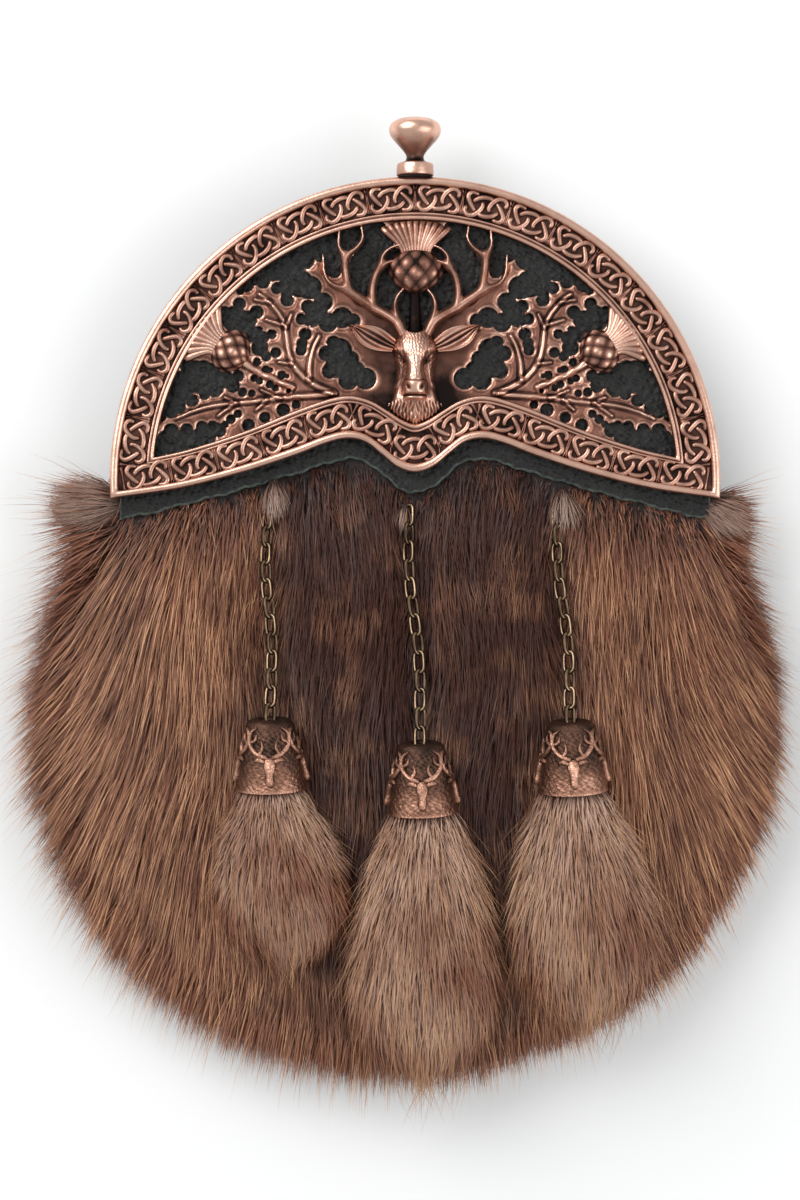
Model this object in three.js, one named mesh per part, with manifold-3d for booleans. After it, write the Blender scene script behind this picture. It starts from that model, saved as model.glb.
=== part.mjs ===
// A dress sporran lying on its back: a leather pouch with a fur front, a pierced metal cantle over
// a leather facing, a turned knob, and three fur tassels that hang on chains from the pelt.
// Millimetres. +Y runs from the fur's lower edge to the knob, +Z comes out of the front, and the
// origin is on the back face, on the cantle's centre line.
import * as THREE from "three";
import { mergeVertices } from "three/addons/utils/BufferGeometryUtils.js";
import Module from "manifold-3d";

const wasm = await Module();
wasm.setup();

// Pouch
const LEATHER = 2;
const GAP = 0.3;
const ARCH_Y = 29.4;
const BACK_ARCH_R = 72.5;
const POUCH_HALF_WIDTH = 83;
const POUCH_WIDEST_Y = -25;
const POUCH_DEPTH_BELOW = 80;
const GUSSET_TOP = 17;
const GUSSET_INSET = 1;
const OUTLINE_STEPS = 8;
const MOUTH_HALF_WIDTH = 50;
const MOUTH_BASE_Y = 70;
const STRAP_SLOT = { x: 30, y: 60, width: 6, height: 34 };

// Pelt
const HIDE = 2.2;
const HIDE_BASE = GUSSET_TOP + GAP;
const HIDE_TOP_Y = 42;
const DOME = 8;
const DOME_FULL_Y = -20;
const DOME_FLAT_Y = 22;
const FUR_CENTRE = new THREE.Vector2(0, POUCH_WIDEST_Y);

// Cantle and its facing
const FACING_BASE = HIDE_BASE + HIDE + GAP;
const FACING = 1.8;
const FACING_ARCH_R = 74;
const FACING_DROP = 5;
const CANTLE_BASE = FACING_BASE + FACING + GAP;
const CANTLE_R = 76.1;
const FIELD_R = 65.3;
const FIELD_THICK = 1.8;
const CHANNEL_THICK = 2;
const RIM_THICK = 3.4;
const INNER_RIM_THICK = 2.9;

// Half of the cantle's scalloped lower edge, from the centre to the corner: the casting's edge and
// the edge of its pierced field.
const LOWER_EDGE = [
  { outerX: 0, outerY: 31.8, innerX: 0, innerY: 43.9 },
  { outerX: 4.4, outerY: 33.1, innerX: 3.2, innerY: 45 },
  { outerX: 8.4, outerY: 36.3, innerX: 7, innerY: 47.4 },
  { outerX: 12.4, outerY: 39.3, innerX: 11.2, innerY: 49.8 },
  { outerX: 17, outerY: 40.2, innerX: 16, innerY: 51 },
  { outerX: 22.5, outerY: 38.9, innerX: 21, innerY: 50.3 },
  { outerX: 30.5, outerY: 35.8, innerX: 29, innerY: 47.6 },
  { outerX: 44, outerY: 31.5, innerX: 42, innerY: 42.3 },
  { outerX: 59, outerY: 27.8, innerX: 55, innerY: 38 },
  { outerX: 76, outerY: 25.3, innerX: 64.9, innerY: 35.6 },
];

// Section of the cantle's border: share of the way from the outer edge to the field, and height.
const BORDER_SECTION = [
  { share: 0, height: 0 },
  { share: 0, height: RIM_THICK },
  { share: 0.18, height: RIM_THICK },
  { share: 0.22, height: CHANNEL_THICK },
  { share: 0.84, height: CHANNEL_THICK },
  { share: 0.88, height: INNER_RIM_THICK },
  { share: 1, height: INNER_RIM_THICK },
  { share: 1, height: 0 },
];
const ARCH_STEPS = 24;

// Pierced gaps of the field's left half, each cut by round holes that run into one another.
const GAPS = [
  { name: "above_upper_leaf", rounds: [[-36.2, 81.8, 2.7], [-29.6, 83.2, 4.5]] },
  { name: "leaf_to_antler", rounds: [[-26.4, 76.6, 4]] },
  { name: "under_antler", rounds: [[-22.6, 70.2, 3.6], [-16.8, 69.8, 3]] },
  { name: "leaf_slit", rounds: [[-28.3, 66, 2.3]] },
  { name: "beside_ear", rounds: [[-20.4, 61.2, 3.9], [-15.8, 60.2, 3.1]] },
  { name: "beside_cheek", rounds: [[-17, 55.2, 2.8], [-12.2, 55.4, 2.9]] },
  { name: "upper_corner", rounds: [[-42.2, 78.1, 2]] },
  { name: "behind_tuft", rounds: [[-45, 71, 3.4], [-40.2, 71.2, 2.7]] },
  { name: "behind_bulb", rounds: [[-38.6, 65.6, 3.2]] },
  { name: "leaf_scallop", rounds: [[-37.8, 60, 2]] },
  { name: "above_stem", rounds: [[-34.2, 56.4, 1.6]] },
  { name: "below_stem", rounds: [[-38, 54.4, 1.7]] },
  { name: "under_thistle", rounds: [[-56.4, 55, 4.5], [-50.4, 54.4, 4.4], [-44.6, 53.6, 2.8]] },
  { name: "corner", rounds: [[-60, 41, 3.6], [-55.2, 41.6, 3.2]] },
  { name: "under_leaf", rounds: [[-48.6, 43.8, 2.6]] },
  { name: "rim_hole_outer", rounds: [[-41.9, 44.9, 1.7]] },
  { name: "rim_hole_middle", rounds: [[-37.4, 46.9, 1.7]] },
  { name: "rim_hole_inner", rounds: [[-32.6, 48.8, 1.8]] },
  { name: "outside_antler", rounds: [[-23.8, 87.8, 3.3]] },
  { name: "antler_fork", rounds: [[-16.2, 90.2, 2.6]] },
  { name: "inside_antler", rounds: [[-12, 89, 3.4], [-13, 81.6, 3.9]] },
  { name: "beside_brow", rounds: [[-7.4, 77.6, 3.4]] },
];
const CENTRE_GAP = [[0, 72.6, 3.2]];
const ROUND_SIDES = 6;

// Antler limbs of the left side: start, bend and tip, and the radius at each end.
const ANTLER_LIMBS = [
  { from: [-3.4, 66.6], bend: [-11.6, 74.2], to: [-19, 78.4], root: 1.5, tip: 1.1 },
  { from: [-18.6, 78.2], bend: [-22, 79.8], to: [-22.8, 84.6], root: 1.1, tip: 0.5 },
  { from: [-17.4, 77.6], bend: [-16.4, 84.6], to: [-18.8, 92.6], root: 1.2, tip: 0.5 },
  { from: [-16.8, 85.4], bend: [-13.7, 88.8], to: [-12.8, 92.8], root: 1, tip: 0.5 },
  { from: [-11.2, 74], bend: [-9, 83], to: [-3.8, 88.5], root: 1.2, tip: 0.5 },
  { from: [-8.6, 83.6], bend: [-4.6, 84.6], to: [-1.4, 84.8], root: 0.9, tip: 0.5 },
  { from: [-3.8, 68], bend: [-5, 72.6], to: [-3.1, 77.2], root: 1.2, tip: 0.5 },
];
const RIDGE_FOOT = 0.6;
const ANTLER_RISE = 4;
const RIB_RISE = 2.6;

// Stag's head from the brow to the beard: half width, and the height of its front.
const HEAD_SECTIONS = [
  { y: 69, halfWidth: 3.4, front: 4 },
  { y: 62, halfWidth: 5, front: 7.4 },
  { y: 57, halfWidth: 3.3, front: 8.8 },
  { y: 52.5, halfWidth: 3, front: 9.6 },
  { y: 48, halfWidth: 5.8, front: 5.6 },
  { y: 44.6, halfWidth: 3, front: 3.6 },
];
const EAR = { from: [-4.6, 64], bend: [-10.4, 66.2], to: [-15.8, 68.4], root: 1.2, middle: 2.6, tip: 0.4 };

// Thistles: bulb centre, the way that the tuft points, and their sizes.
const THISTLES = [
  { x: 0, y: 82, turn: 90, bulb: 5.4, tuftLength: 12, tuftWidth: 11.4 },
  { x: -45.6, y: 62, turn: 152, bulb: 4.8, tuftLength: 10.6, tuftWidth: 8.4 },
  { x: 45.6, y: 62, turn: 28, bulb: 4.8, tuftLength: 10.6, tuftWidth: 8.4 },
];

// Raised ribs of the left leaves and the thistle's stalk.
const LEAF_RIBS = [
  { from: [-20.2, 51.9], bend: [-31.2, 60.5], to: [-38.6, 76.2], root: 0.9, tip: 0.35 },
  { from: [-26.4, 55.4], bend: [-26, 61], to: [-24.2, 66.4], root: 0.7, tip: 0.35 },
  { from: [-21.3, 51.2], bend: [-40, 50], to: [-61, 45], root: 0.8, tip: 0.35 },
  { from: [-42, 59.2], bend: [-36.6, 55.4], to: [-30.6, 52.6], root: 0.8, tip: 0.5 },
];

// Knob profile from the cantle's edge: distance along the axis and radius.
const KNOB_PROFILE = [
  { along: 0, radius: 4.6 },
  { along: 2.6, radius: 4.4 },
  { along: 3.7, radius: 2.6 },
  { along: 4.6, radius: 2.1 },
  { along: 7.6, radius: 4.4 },
  { along: 10, radius: 6.3 },
  { along: 12, radius: 6.4 },
  { along: 13.6, radius: 5 },
  { along: 14.2, radius: 2.6 },
];
const KNOB_SIDES = 14;
const KNOB_Z = CANTLE_BASE + 2.4;

// Tassels: where the chain leaves the pelt, the cap's top, the turn of the cap, and the fur below it.
const TASSELS = [
  { name: "left", anchorX: -36.7, anchorY: 22.4, capX: -35.7, capY: -29, turn: 1.5, links: 12,
    furLength: 44, furWidth: 33, sway: 2.6 },
  { name: "middle", anchorX: -1.5, anchorY: 23.4, capX: 1.2, capY: -34.7, turn: 2, links: 13,
    furLength: 67, furWidth: 36, sway: -1.5 },
  { name: "right", anchorX: 35.6, anchorY: 22.8, capX: 37.9, capY: -29.5, turn: 2.5, links: 12,
    furLength: 57, furWidth: 35, sway: 1.5 },
];
const CHAIN_WIRE_R = 0.42;
const LINK_WIDTH = 3.5;
const LINK_STEPS = 10;
const WIRE_SIDES = 5;
const LINK_TURN = 40;
const LINK_BITE = 0.12;
const CHAIN_LIFT = 5.2;
const CAP_TOP_R = 5.6;
const CAP_MOUTH_R = 8.6;
const CAP_LENGTH = 17.4;
const CAP_WALL = 1.2;
const CAP_HOLE_R = 2.4;
const CAP_SIDES = 12;
const CAP_LIFT = 0.6;
const TASSEL_DIP = 6;
const CAP_STAGS = 4;
const CAP_STAG_FOOT = 1;
const CAP_STAG = [
  { y: -3, halfWidth: 3.2, proud: -1 },
  { y: -8, halfWidth: 2, proud: 0.8 },
  { y: -13, halfWidth: 1, proud: 1.6 },
];
const TASSEL_LOCKS = 6;
const TASSEL_THICK = 13;
const LOCK_ROOT = 3;

// Locks on the front of the pelt, between the tassels: root, length and width.
const FRONT_LOCKS = [
  { x: -60, y: 10, length: 46, width: 18 },
  { x: -19, y: 12, length: 38, width: 18 },
  { x: 17, y: 12, length: 38, width: 18 },
  { x: 56, y: 10, length: 46, width: 18 },
  { x: -64, y: -34, length: 42, width: 16 },
  { x: 63, y: -34, length: 42, width: 16 },
];
const FRONT_LOCK_THICK = 4;

// Fur of the pelt's edge: its length, and its section as a share of that length and a height.
const FUR_PLACES = 48;
const EDGE_FUR = 17.5;
const SIDE_FUR = 4.5;
const SHORT_LOCK = 0.72;
const FUR_FULL_Y = 22;
const FUR_LEAST_Y = 31;
const EDGE_SECTION = [
  { far: 0.35, z: 5 },
  { far: 0.8, z: 2.4 },
  { far: 1, z: -6 },
  { far: 0.7, z: -12 },
  { far: 0.06, z: -3.5 },
];

const COPPER = { color: "#b8795c", roughness: 0.38, metalness: 1 };
const DARK_COPPER = { color: "#8a5a46", roughness: 0.45, metalness: 1 };
const CHAIN_BRASS = { color: "#8d744e", roughness: 0.4, metalness: 1 };
const BLACK_LEATHER = { color: "#262827", roughness: 0.6, metalness: 0 };
const BROWN_FUR = { color: "#5b4033", roughness: 0.9, metalness: 0 };
const TASSEL_FUR = { color: "#8a6a55", roughness: 0.9, metalness: 0 };

// Solids: joining, cutting and lofting
function solidOf(geometry) {
  const bare = new THREE.BufferGeometry();
  bare.setAttribute("position", geometry.getAttribute("position"));
  bare.setIndex(geometry.index);
  const merged = mergeVertices(bare, 1e-4);
  const vertProperties = merged.getAttribute("position").array;
  const triVerts = new Uint32Array(merged.index.array);
  const solid = new wasm.Manifold(new wasm.Mesh({ numProp: 3, vertProperties, triVerts }));
  if (solid.volume() > 0) return solid;
  triVerts.reverse();
  return new wasm.Manifold(new wasm.Mesh({ numProp: 3, vertProperties, triVerts }));
}

function geometryOf(solid) {
  const mesh = solid.getMesh();
  const geometry = new THREE.BufferGeometry();
  geometry.setAttribute("position", new THREE.BufferAttribute(mesh.vertProperties, 3));
  geometry.setIndex(new THREE.BufferAttribute(mesh.triVerts, 1));
  geometry.computeVertexNormals();
  return geometry;
}

const fuse = (geometries) => geometries.map(solidOf).reduce((whole, piece) => whole.add(piece));

// A skin through rings of points, closed by flat ends or joined round into a loop.
function loft(rings, loop = false) {
  const sides = rings[0].length;
  const positions = rings.flat().flatMap((p) => [p.x, p.y, p.z]);
  const index = [];
  const spans = loop ? rings.length : rings.length - 1;
  for (let i = 0; i < spans; i++) {
    const here = i * sides;
    const next = ((i + 1) % rings.length) * sides;
    for (let k = 0; k < sides; k++) {
      const j = (k + 1) % sides;
      index.push(here + k, here + j, next + j, here + k, next + j, next + k);
    }
  }
  if (!loop) {
    const end = (rings.length - 1) * sides;
    for (let k = 1; k < sides - 1; k++) {
      index.push(0, k + 1, k, end, end + k, end + k + 1);
    }
  }
  const geometry = new THREE.BufferGeometry();
  geometry.setAttribute("position", new THREE.Float32BufferAttribute(positions, 3));
  geometry.setIndex(index);
  return geometry;
}

// A ring of points round a path's point, wide across the path and thick towards up.
function ringAt(point, ahead, up, halfWidth, halfThick, sides) {
  const across = new THREE.Vector3().crossVectors(ahead, up).normalize();
  const lift = new THREE.Vector3().crossVectors(across, ahead).normalize();
  return Array.from({ length: sides }, (_, k) => {
    const angle = (2 * Math.PI * k) / sides;
    return point
      .clone()
      .addScaledVector(across, Math.cos(angle) * halfWidth)
      .addScaledVector(lift, Math.sin(angle) * halfThick);
  });
}

// A limb that tapers along a curve, from a table of stations with share, halfWidth and halfThick.
function limb(curve, stations, sides, up = new THREE.Vector3(0, 0, 1)) {
  return loft(
    stations.map(({ share, halfWidth, halfThick }) =>
      ringAt(curve.getPoint(share), curve.getTangent(share), up, halfWidth, halfThick, sides),
    ),
  );
}

function extrude(shape, base, height) {
  return new THREE.ExtrudeGeometry(shape, { depth: height, bevelEnabled: false }).translate(0, 0, base);
}

const mirrorX = (geometry) => geometry.clone().scale(-1, 1, 1);

// Pouch: outline, back, gusset
function pouchPoints(inset, steps = OUTLINE_STEPS) {
  const r = BACK_ARCH_R - inset;
  const w = POUCH_HALF_WIDTH - inset;
  const ease = 22;
  const shape = new THREE.Shape();
  shape.absarc(0, ARCH_Y, r, 0, Math.PI, false);
  shape.bezierCurveTo(-r, ARCH_Y - ease, -w, POUCH_WIDEST_Y + ease, -w, POUCH_WIDEST_Y);
  shape.absellipse(0, POUCH_WIDEST_Y, w, POUCH_DEPTH_BELOW - inset, Math.PI, 2 * Math.PI, false, 0);
  shape.bezierCurveTo(w, POUCH_WIDEST_Y + ease, r, ARCH_Y - ease, r, ARCH_Y);
  const points = shape.getPoints(steps);
  return points.filter((p, i) => p.distanceTo(points[(i + 1) % points.length]) > 0.01);
}

function backPanel() {
  const panel = solidOf(extrude(new THREE.Shape(pouchPoints(0)), 0, LEATHER));
  const slot = new THREE.BoxGeometry(STRAP_SLOT.width, STRAP_SLOT.height, 4 * LEATHER);
  slot.translate(STRAP_SLOT.x, STRAP_SLOT.y, 0);
  return geometryOf(panel.subtract(fuse([slot, mirrorX(slot)])));
}

function gusset() {
  const wall = new THREE.Shape(pouchPoints(GUSSET_INSET));
  wall.holes.push(new THREE.Path(pouchPoints(GUSSET_INSET + LEATHER)));
  const base = LEATHER + GAP;
  const facingSeat = FACING_BASE - GAP;
  const ring = solidOf(extrude(wall, base, facingSeat - base));
  const wide = 4 * POUCH_HALF_WIDTH;
  const mouth = new THREE.BoxGeometry(2 * MOUTH_HALF_WIDTH, wide, wide);
  mouth.translate(0, MOUTH_BASE_Y + wide / 2, 0);
  const peltSeat = new THREE.BoxGeometry(wide, wide, wide);
  peltSeat.translate(0, HIDE_TOP_Y + GAP - wide / 2, GUSSET_TOP + wide / 2);
  return geometryOf(ring.subtract(solidOf(mouth)).subtract(solidOf(peltSeat)));
}

// Pelt: a domed hide wall, and locks of fur fused to it
const peltOutline = pouchPoints(0.5, 24);

// Distance from the middle of the fur to the hide's edge, in one direction.
function peltReach(angle) {
  const way = new THREE.Vector2(Math.cos(angle), Math.sin(angle));
  let reach = way.y > 0 ? (HIDE_TOP_Y - FUR_CENTRE.y) / way.y : Infinity;
  peltOutline.forEach((point, i) => {
    const a = point.clone().sub(FUR_CENTRE);
    const b = peltOutline[(i + 1) % peltOutline.length].clone().sub(FUR_CENTRE);
    const side = b.clone().sub(a);
    const bottom = way.cross(side);
    const along = a.cross(side) / bottom;
    const share = a.cross(way) / bottom;
    if (along > 0 && share >= 0 && share <= 1) reach = Math.min(reach, along);
  });
  return reach;
}

function hideZ(x, y) {
  const from = new THREE.Vector2(x, y).sub(FUR_CENTRE);
  const share = Math.min(1, from.length() / peltReach(from.angle()));
  const fall = 1 - THREE.MathUtils.smoothstep(y, DOME_FULL_Y, DOME_FLAT_Y);
  return HIDE_BASE + HIDE + DOME * (1 - share * share) * fall;
}

// Rings of the pelt: places round the hide, and the edge's fur, which leans out and down the front
// in long locks with short ones between and droops towards the surface below.
const furPlaces = Array.from({ length: FUR_PLACES }, (_, i) => {
  const angle = (2 * Math.PI * i) / FUR_PLACES;
  const out = new THREE.Vector2(Math.cos(angle), Math.sin(angle));
  const edge = FUR_CENTRE.clone().addScaledVector(out, peltReach(angle));
  const lean = out.clone().multiplyScalar(0.8).add(new THREE.Vector2(0, -0.62)).normalize();
  const covered = THREE.MathUtils.smoothstep(edge.y, FUR_FULL_Y, FUR_LEAST_Y);
  const lock = i % 2 ? 1 : SHORT_LOCK;
  const length = (EDGE_FUR - SIDE_FUR * out.x) * lock * (1 - covered) + GAP;
  return { edge, lean, length, depth: 1 - 0.95 * covered };
});

function hideRing(share, below) {
  return furPlaces.map(({ edge }) => {
    const p = FUR_CENTRE.clone().lerp(edge, share);
    return new THREE.Vector3(p.x, p.y, hideZ(p.x, p.y) - below);
  });
}

function furRing(far, z) {
  return furPlaces.map(({ edge, lean, length, depth }) => {
    const p = edge.clone().addScaledVector(lean, length * far);
    return new THREE.Vector3(p.x, p.y, HIDE_BASE + HIDE / 2 + z * depth);
  });
}

function pelt() {
  const outside = [0.4, 0.75, 0.97].map((share) => hideRing(share, 0));
  const edge = EDGE_SECTION.map(({ far, z }) => furRing(far, z));
  const inside = [1, 0.75, 0.4].map((share) => hideRing(share, HIDE));
  return loft([...outside, ...edge, ...inside]);
}

// One lock: a flat spindle through the points, widest at a third of its length.
function lock(points, width, thick, up = new THREE.Vector3(0, 0, 1)) {
  const stations = [
    { share: 0, halfWidth: width * 0.4, halfThick: thick * 0.5 },
    { share: 0.5, halfWidth: width * 0.5, halfThick: thick * 0.6 },
    { share: 1, halfWidth: width * 0.07, halfThick: thick * 0.12 },
  ];
  return limb(new THREE.CatmullRomCurve3(points), stations, 4, up);
}

function frontLock({ x, y, length, width }) {
  const points = [0, 0.4, 0.75, 1].map((share) => {
    const place = { x: x * (1 + 0.06 * share), y: y - length * share };
    const proud = share === 0 ? -0.8 : FRONT_LOCK_THICK * 0.25;
    return new THREE.Vector3(place.x, place.y, hideZ(place.x, place.y) + proud);
  });
  return lock(points, width, FRONT_LOCK_THICK);
}

function furFront() {
  const pieces = [pelt(), ...FRONT_LOCKS.map(frontLock)];
  const facingSpace = extrude(facingShape(CANTLE_R + GAP, FACING_DROP + 1), FACING_BASE - GAP, DOME);
  return geometryOf(fuse(pieces).subtract(solidOf(facingSpace)));
}

// Cantle: facing, border, knots, pierced field and relief
function lowerEdge(xKey, yKey, drop = 0) {
  const right = LOWER_EDGE.map((row) => new THREE.Vector2(row[xKey], row[yKey] - drop));
  const left = right.slice(1).map((p) => new THREE.Vector2(-p.x, p.y));
  return [...left.reverse(), ...right];
}

function archPoints(radius, from, to, steps) {
  return Array.from({ length: steps + 1 }, (_, i) => {
    const angle = THREE.MathUtils.lerp(from, to, i / steps);
    return new THREE.Vector2(Math.cos(angle) * radius, ARCH_Y + Math.sin(angle) * radius);
  });
}

// An edge of the casting, once round: along the lower edge, then over the arch from right to left.
function cantleLoop(xKey, yKey, radius) {
  const low = lowerEdge(xKey, yKey);
  const corner = low[low.length - 1];
  const start = Math.atan2(corner.y - ARCH_Y, corner.x);
  return [...low, ...archPoints(radius, start, Math.PI - start, ARCH_STEPS).slice(1, -1)];
}

const outerLoop = cantleLoop("outerX", "outerY", CANTLE_R);
const innerLoop = cantleLoop("innerX", "innerY", FIELD_R);

function facingShape(radius, drop) {
  const low = lowerEdge("outerX", "outerY", drop).map(
    (p) => new THREE.Vector2(p.x * (radius / CANTLE_R), p.y),
  );
  return new THREE.Shape([...low, ...archPoints(radius, 0, Math.PI, ARCH_STEPS)]);
}

const leatherFacing = () => extrude(facingShape(FACING_ARCH_R, FACING_DROP), FACING_BASE, FACING);

function border() {
  const rings = outerLoop.map((outer, i) =>
    BORDER_SECTION.map(({ share, height }) => {
      const p = outer.clone().lerp(innerLoop[i], share);
      return new THREE.Vector3(p.x, p.y, CANTLE_BASE + height);
    }),
  );
  return loft(rings, true);
}

function gapCutter([x, y, radius]) {
  const round = new THREE.CylinderGeometry(radius, radius, 4 * FIELD_THICK, ROUND_SIDES);
  return round.rotateX(Math.PI / 2).translate(x, y, CANTLE_BASE);
}

function piercedField() {
  const grown = innerLoop.map((p, i) => p.clone().lerp(outerLoop[i], 0.06));
  const plate = solidOf(extrude(new THREE.Shape(grown), CANTLE_BASE, FIELD_THICK));
  const left = fuse(GAPS.flatMap(({ rounds }) => rounds.map(gapCutter)));
  const right = fuse(GAPS.flatMap(({ rounds }) => rounds.map(gapCutter).map(mirrorX)));
  return plate.subtract(left).subtract(right).subtract(fuse(CENTRE_GAP.map(gapCutter)));
}

// A raised limb on the casting, bent once: a ridge whose two feet are inside the field's plate.
function ridge({ from, bend, to, root, middle, tip, rise }) {
  const path = new THREE.CatmullRomCurve3([from, bend, to].map(([x, y]) => new THREE.Vector3(x, y, 0)));
  const rings = [root, middle ?? (root + tip) / 2, tip].map((half, i) => {
    const p = path.getPoint(i / 2).setZ(CANTLE_BASE + RIDGE_FOOT);
    const way = path.getTangent(i / 2);
    const across = new THREE.Vector3(-way.y, way.x, 0).multiplyScalar(half);
    const top = p.clone().setZ(CANTLE_BASE + rise);
    return [p.clone().add(across), p.clone().sub(across), top];
  });
  return loft(rings);
}

function stagHead() {
  const turns = [0, 60, 120, 180];
  return loft(
    HEAD_SECTIONS.map(({ y, halfWidth, front }) => {
      const round = turns.map((deg) => {
        const angle = THREE.MathUtils.degToRad(deg);
        const z = CANTLE_BASE + 1 + (front - 1) * Math.sin(angle);
        return new THREE.Vector3(Math.cos(angle) * halfWidth, y, z);
      });
      const foot = [-1, 1].map((side) => new THREE.Vector3(side * halfWidth, y, CANTLE_BASE + 0.6));
      return [...round, ...foot];
    }),
  );
}

function thistle({ x, y, turn, bulb, tuftLength, tuftWidth }) {
  const bulbBody = new THREE.SphereGeometry(bulb, 8, 4).scale(1, 0.94, 0.62).rotateX(Math.PI / 2);
  bulbBody.scale(1, 1, 0.62);
  const neck = bulb * 0.8;
  const fan = new THREE.Shape([
    new THREE.Vector2(bulb * 0.5, -neck * 0.7),
    new THREE.Vector2(tuftLength, -tuftWidth),
    new THREE.Vector2(tuftLength + bulb * 0.35, 0),
    new THREE.Vector2(tuftLength, tuftWidth),
    new THREE.Vector2(bulb * 0.5, neck * 0.7),
  ]);
  const tuft = extrude(fan, 0, FIELD_THICK + 0.7);
  const angle = THREE.MathUtils.degToRad(turn);
  bulbBody.translate(0, 0, FIELD_THICK);
  return [bulbBody, tuft].map((piece) => piece.rotateZ(angle).translate(x, y, CANTLE_BASE));
}

function cantle() {
  const leftRelief = [
    ...[...ANTLER_LIMBS, EAR].map((row) => ridge({ ...row, rise: ANTLER_RISE })),
    ...LEAF_RIBS.map((row) => ridge({ ...row, rise: RIB_RISE })),
  ];
  const inside = fuse([
    ...leftRelief,
    ...leftRelief.map(mirrorX),
    ...THISTLES.flatMap(thistle),
    stagHead(),
  ]);
  const opening = innerLoop.map((p, i) => p.clone().lerp(outerLoop[i], 0.1));
  const clip = solidOf(extrude(new THREE.Shape(opening), CANTLE_BASE, 4 * RIM_THICK));
  return geometryOf(piercedField().add(inside.intersect(clip)).add(solidOf(border())));
}

// Knob: turned about the part's Y axis, standing on the cantle's edge
function knob() {
  const profile = KNOB_PROFILE.map(({ along, radius }) => new THREE.Vector2(radius, along));
  const last = KNOB_PROFILE[KNOB_PROFILE.length - 1];
  profile.unshift(new THREE.Vector2(0, 0));
  profile.push(new THREE.Vector2(0, last.along + 0.2));
  const turned = new THREE.LatheGeometry(profile, KNOB_SIDES);
  return geometryOf(solidOf(turned.translate(0, ARCH_Y + CANTLE_R + GAP, KNOB_Z)));
}

// Tassels: chain, cap and fur
function capPlace({ capX, capY, turn }) {
  const dip = THREE.MathUtils.degToRad(TASSEL_DIP);
  const mouthZ = hideZ(capX, capY - CAP_LENGTH) + CAP_LIFT + CAP_MOUTH_R;
  const top = new THREE.Vector3(capX, capY, mouthZ + CAP_LENGTH * Math.sin(dip));
  return { top, dip, turn: THREE.MathUtils.degToRad(turn) };
}

// The chain's line: out of the pelt, over the fur and into the top of the cap.
function chainPath(tassel) {
  const { top } = capPlace(tassel);
  const start = new THREE.Vector3(tassel.anchorX, tassel.anchorY, 0);
  start.z = hideZ(start.x, start.y) + CHAIN_WIRE_R + LINK_WIDTH / 2 + GAP;
  const points = [start];
  for (const share of [0.3, 0.65]) {
    const p = start.clone().lerp(top, share);
    p.x += share < 0.5 ? -0.7 : 0.7;
    p.z = Math.max(hideZ(p.x, p.y) + CHAIN_LIFT, start.z + (top.z - start.z) * share * share);
    points.push(p);
  }
  points.push(top.clone().add(new THREE.Vector3(0, -CAP_WALL, 0)));
  return new THREE.CatmullRomCurve3(points);
}

function link(centre, ahead, turn, length) {
  const up = new THREE.Vector3(0, 0, 1);
  const across = new THREE.Vector3().crossVectors(ahead, up).normalize().applyAxisAngle(ahead, turn);
  const through = new THREE.Vector3().crossVectors(ahead, across);
  const endR = LINK_WIDTH / 2 - CHAIN_WIRE_R;
  const straight = length / 2 - CHAIN_WIRE_R - endR;
  const rings = Array.from({ length: LINK_STEPS }, (_, i) => {
    const angle = (2 * Math.PI * (i + 0.5)) / LINK_STEPS;
    const c = Math.cos(angle);
    const s = Math.sin(angle);
    const point = centre
      .clone()
      .addScaledVector(ahead, c * endR + Math.sign(c) * straight)
      .addScaledVector(across, s * endR);
    const out = ahead.clone().multiplyScalar(c).addScaledVector(across, s);
    const way = new THREE.Vector3().crossVectors(through, out);
    return ringAt(point, way, through, CHAIN_WIRE_R, CHAIN_WIRE_R, WIRE_SIDES);
  });
  return loft(rings, true);
}

function chain(tassel) {
  const path = chainPath(tassel);
  const pitch = path.getLength() / tassel.links;
  const length = pitch + 4 * CHAIN_WIRE_R - LINK_BITE;
  const pieces = Array.from({ length: tassel.links }, (_, i) => {
    const share = (i + 0.5) / tassel.links;
    const turn = THREE.MathUtils.degToRad(LINK_TURN + (i % 2) * 90);
    return link(path.getPointAt(share), path.getTangentAt(share), turn, length);
  });
  return geometryOf(fuse(pieces));
}

// Cap, turned about its own Y axis, with a small stag's head on each side
function capProfile(inset) {
  return [
    { y: -CAP_LENGTH, r: CAP_MOUTH_R - inset },
    { y: -1.6, r: CAP_TOP_R - inset + 0.3 },
    { y: inset ? -CAP_WALL : 0, r: inset ? CAP_TOP_R - inset - 0.6 : CAP_TOP_R - 1.2 },
  ];
}

function capStag(i) {
  const face = (CAP_TOP_R + CAP_MOUTH_R) / 2;
  const rings = CAP_STAG.map(({ y, halfWidth, proud }) => {
    const z = face - proud * 0.2 - CAP_STAG_FOOT;
    const foot = [-halfWidth, halfWidth].map((x) => new THREE.Vector3(x, y, z));
    return [...foot, new THREE.Vector3(0, y, face + proud)];
  });
  return loft(rings).rotateY((2 * Math.PI * i) / CAP_STAGS);
}

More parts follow.
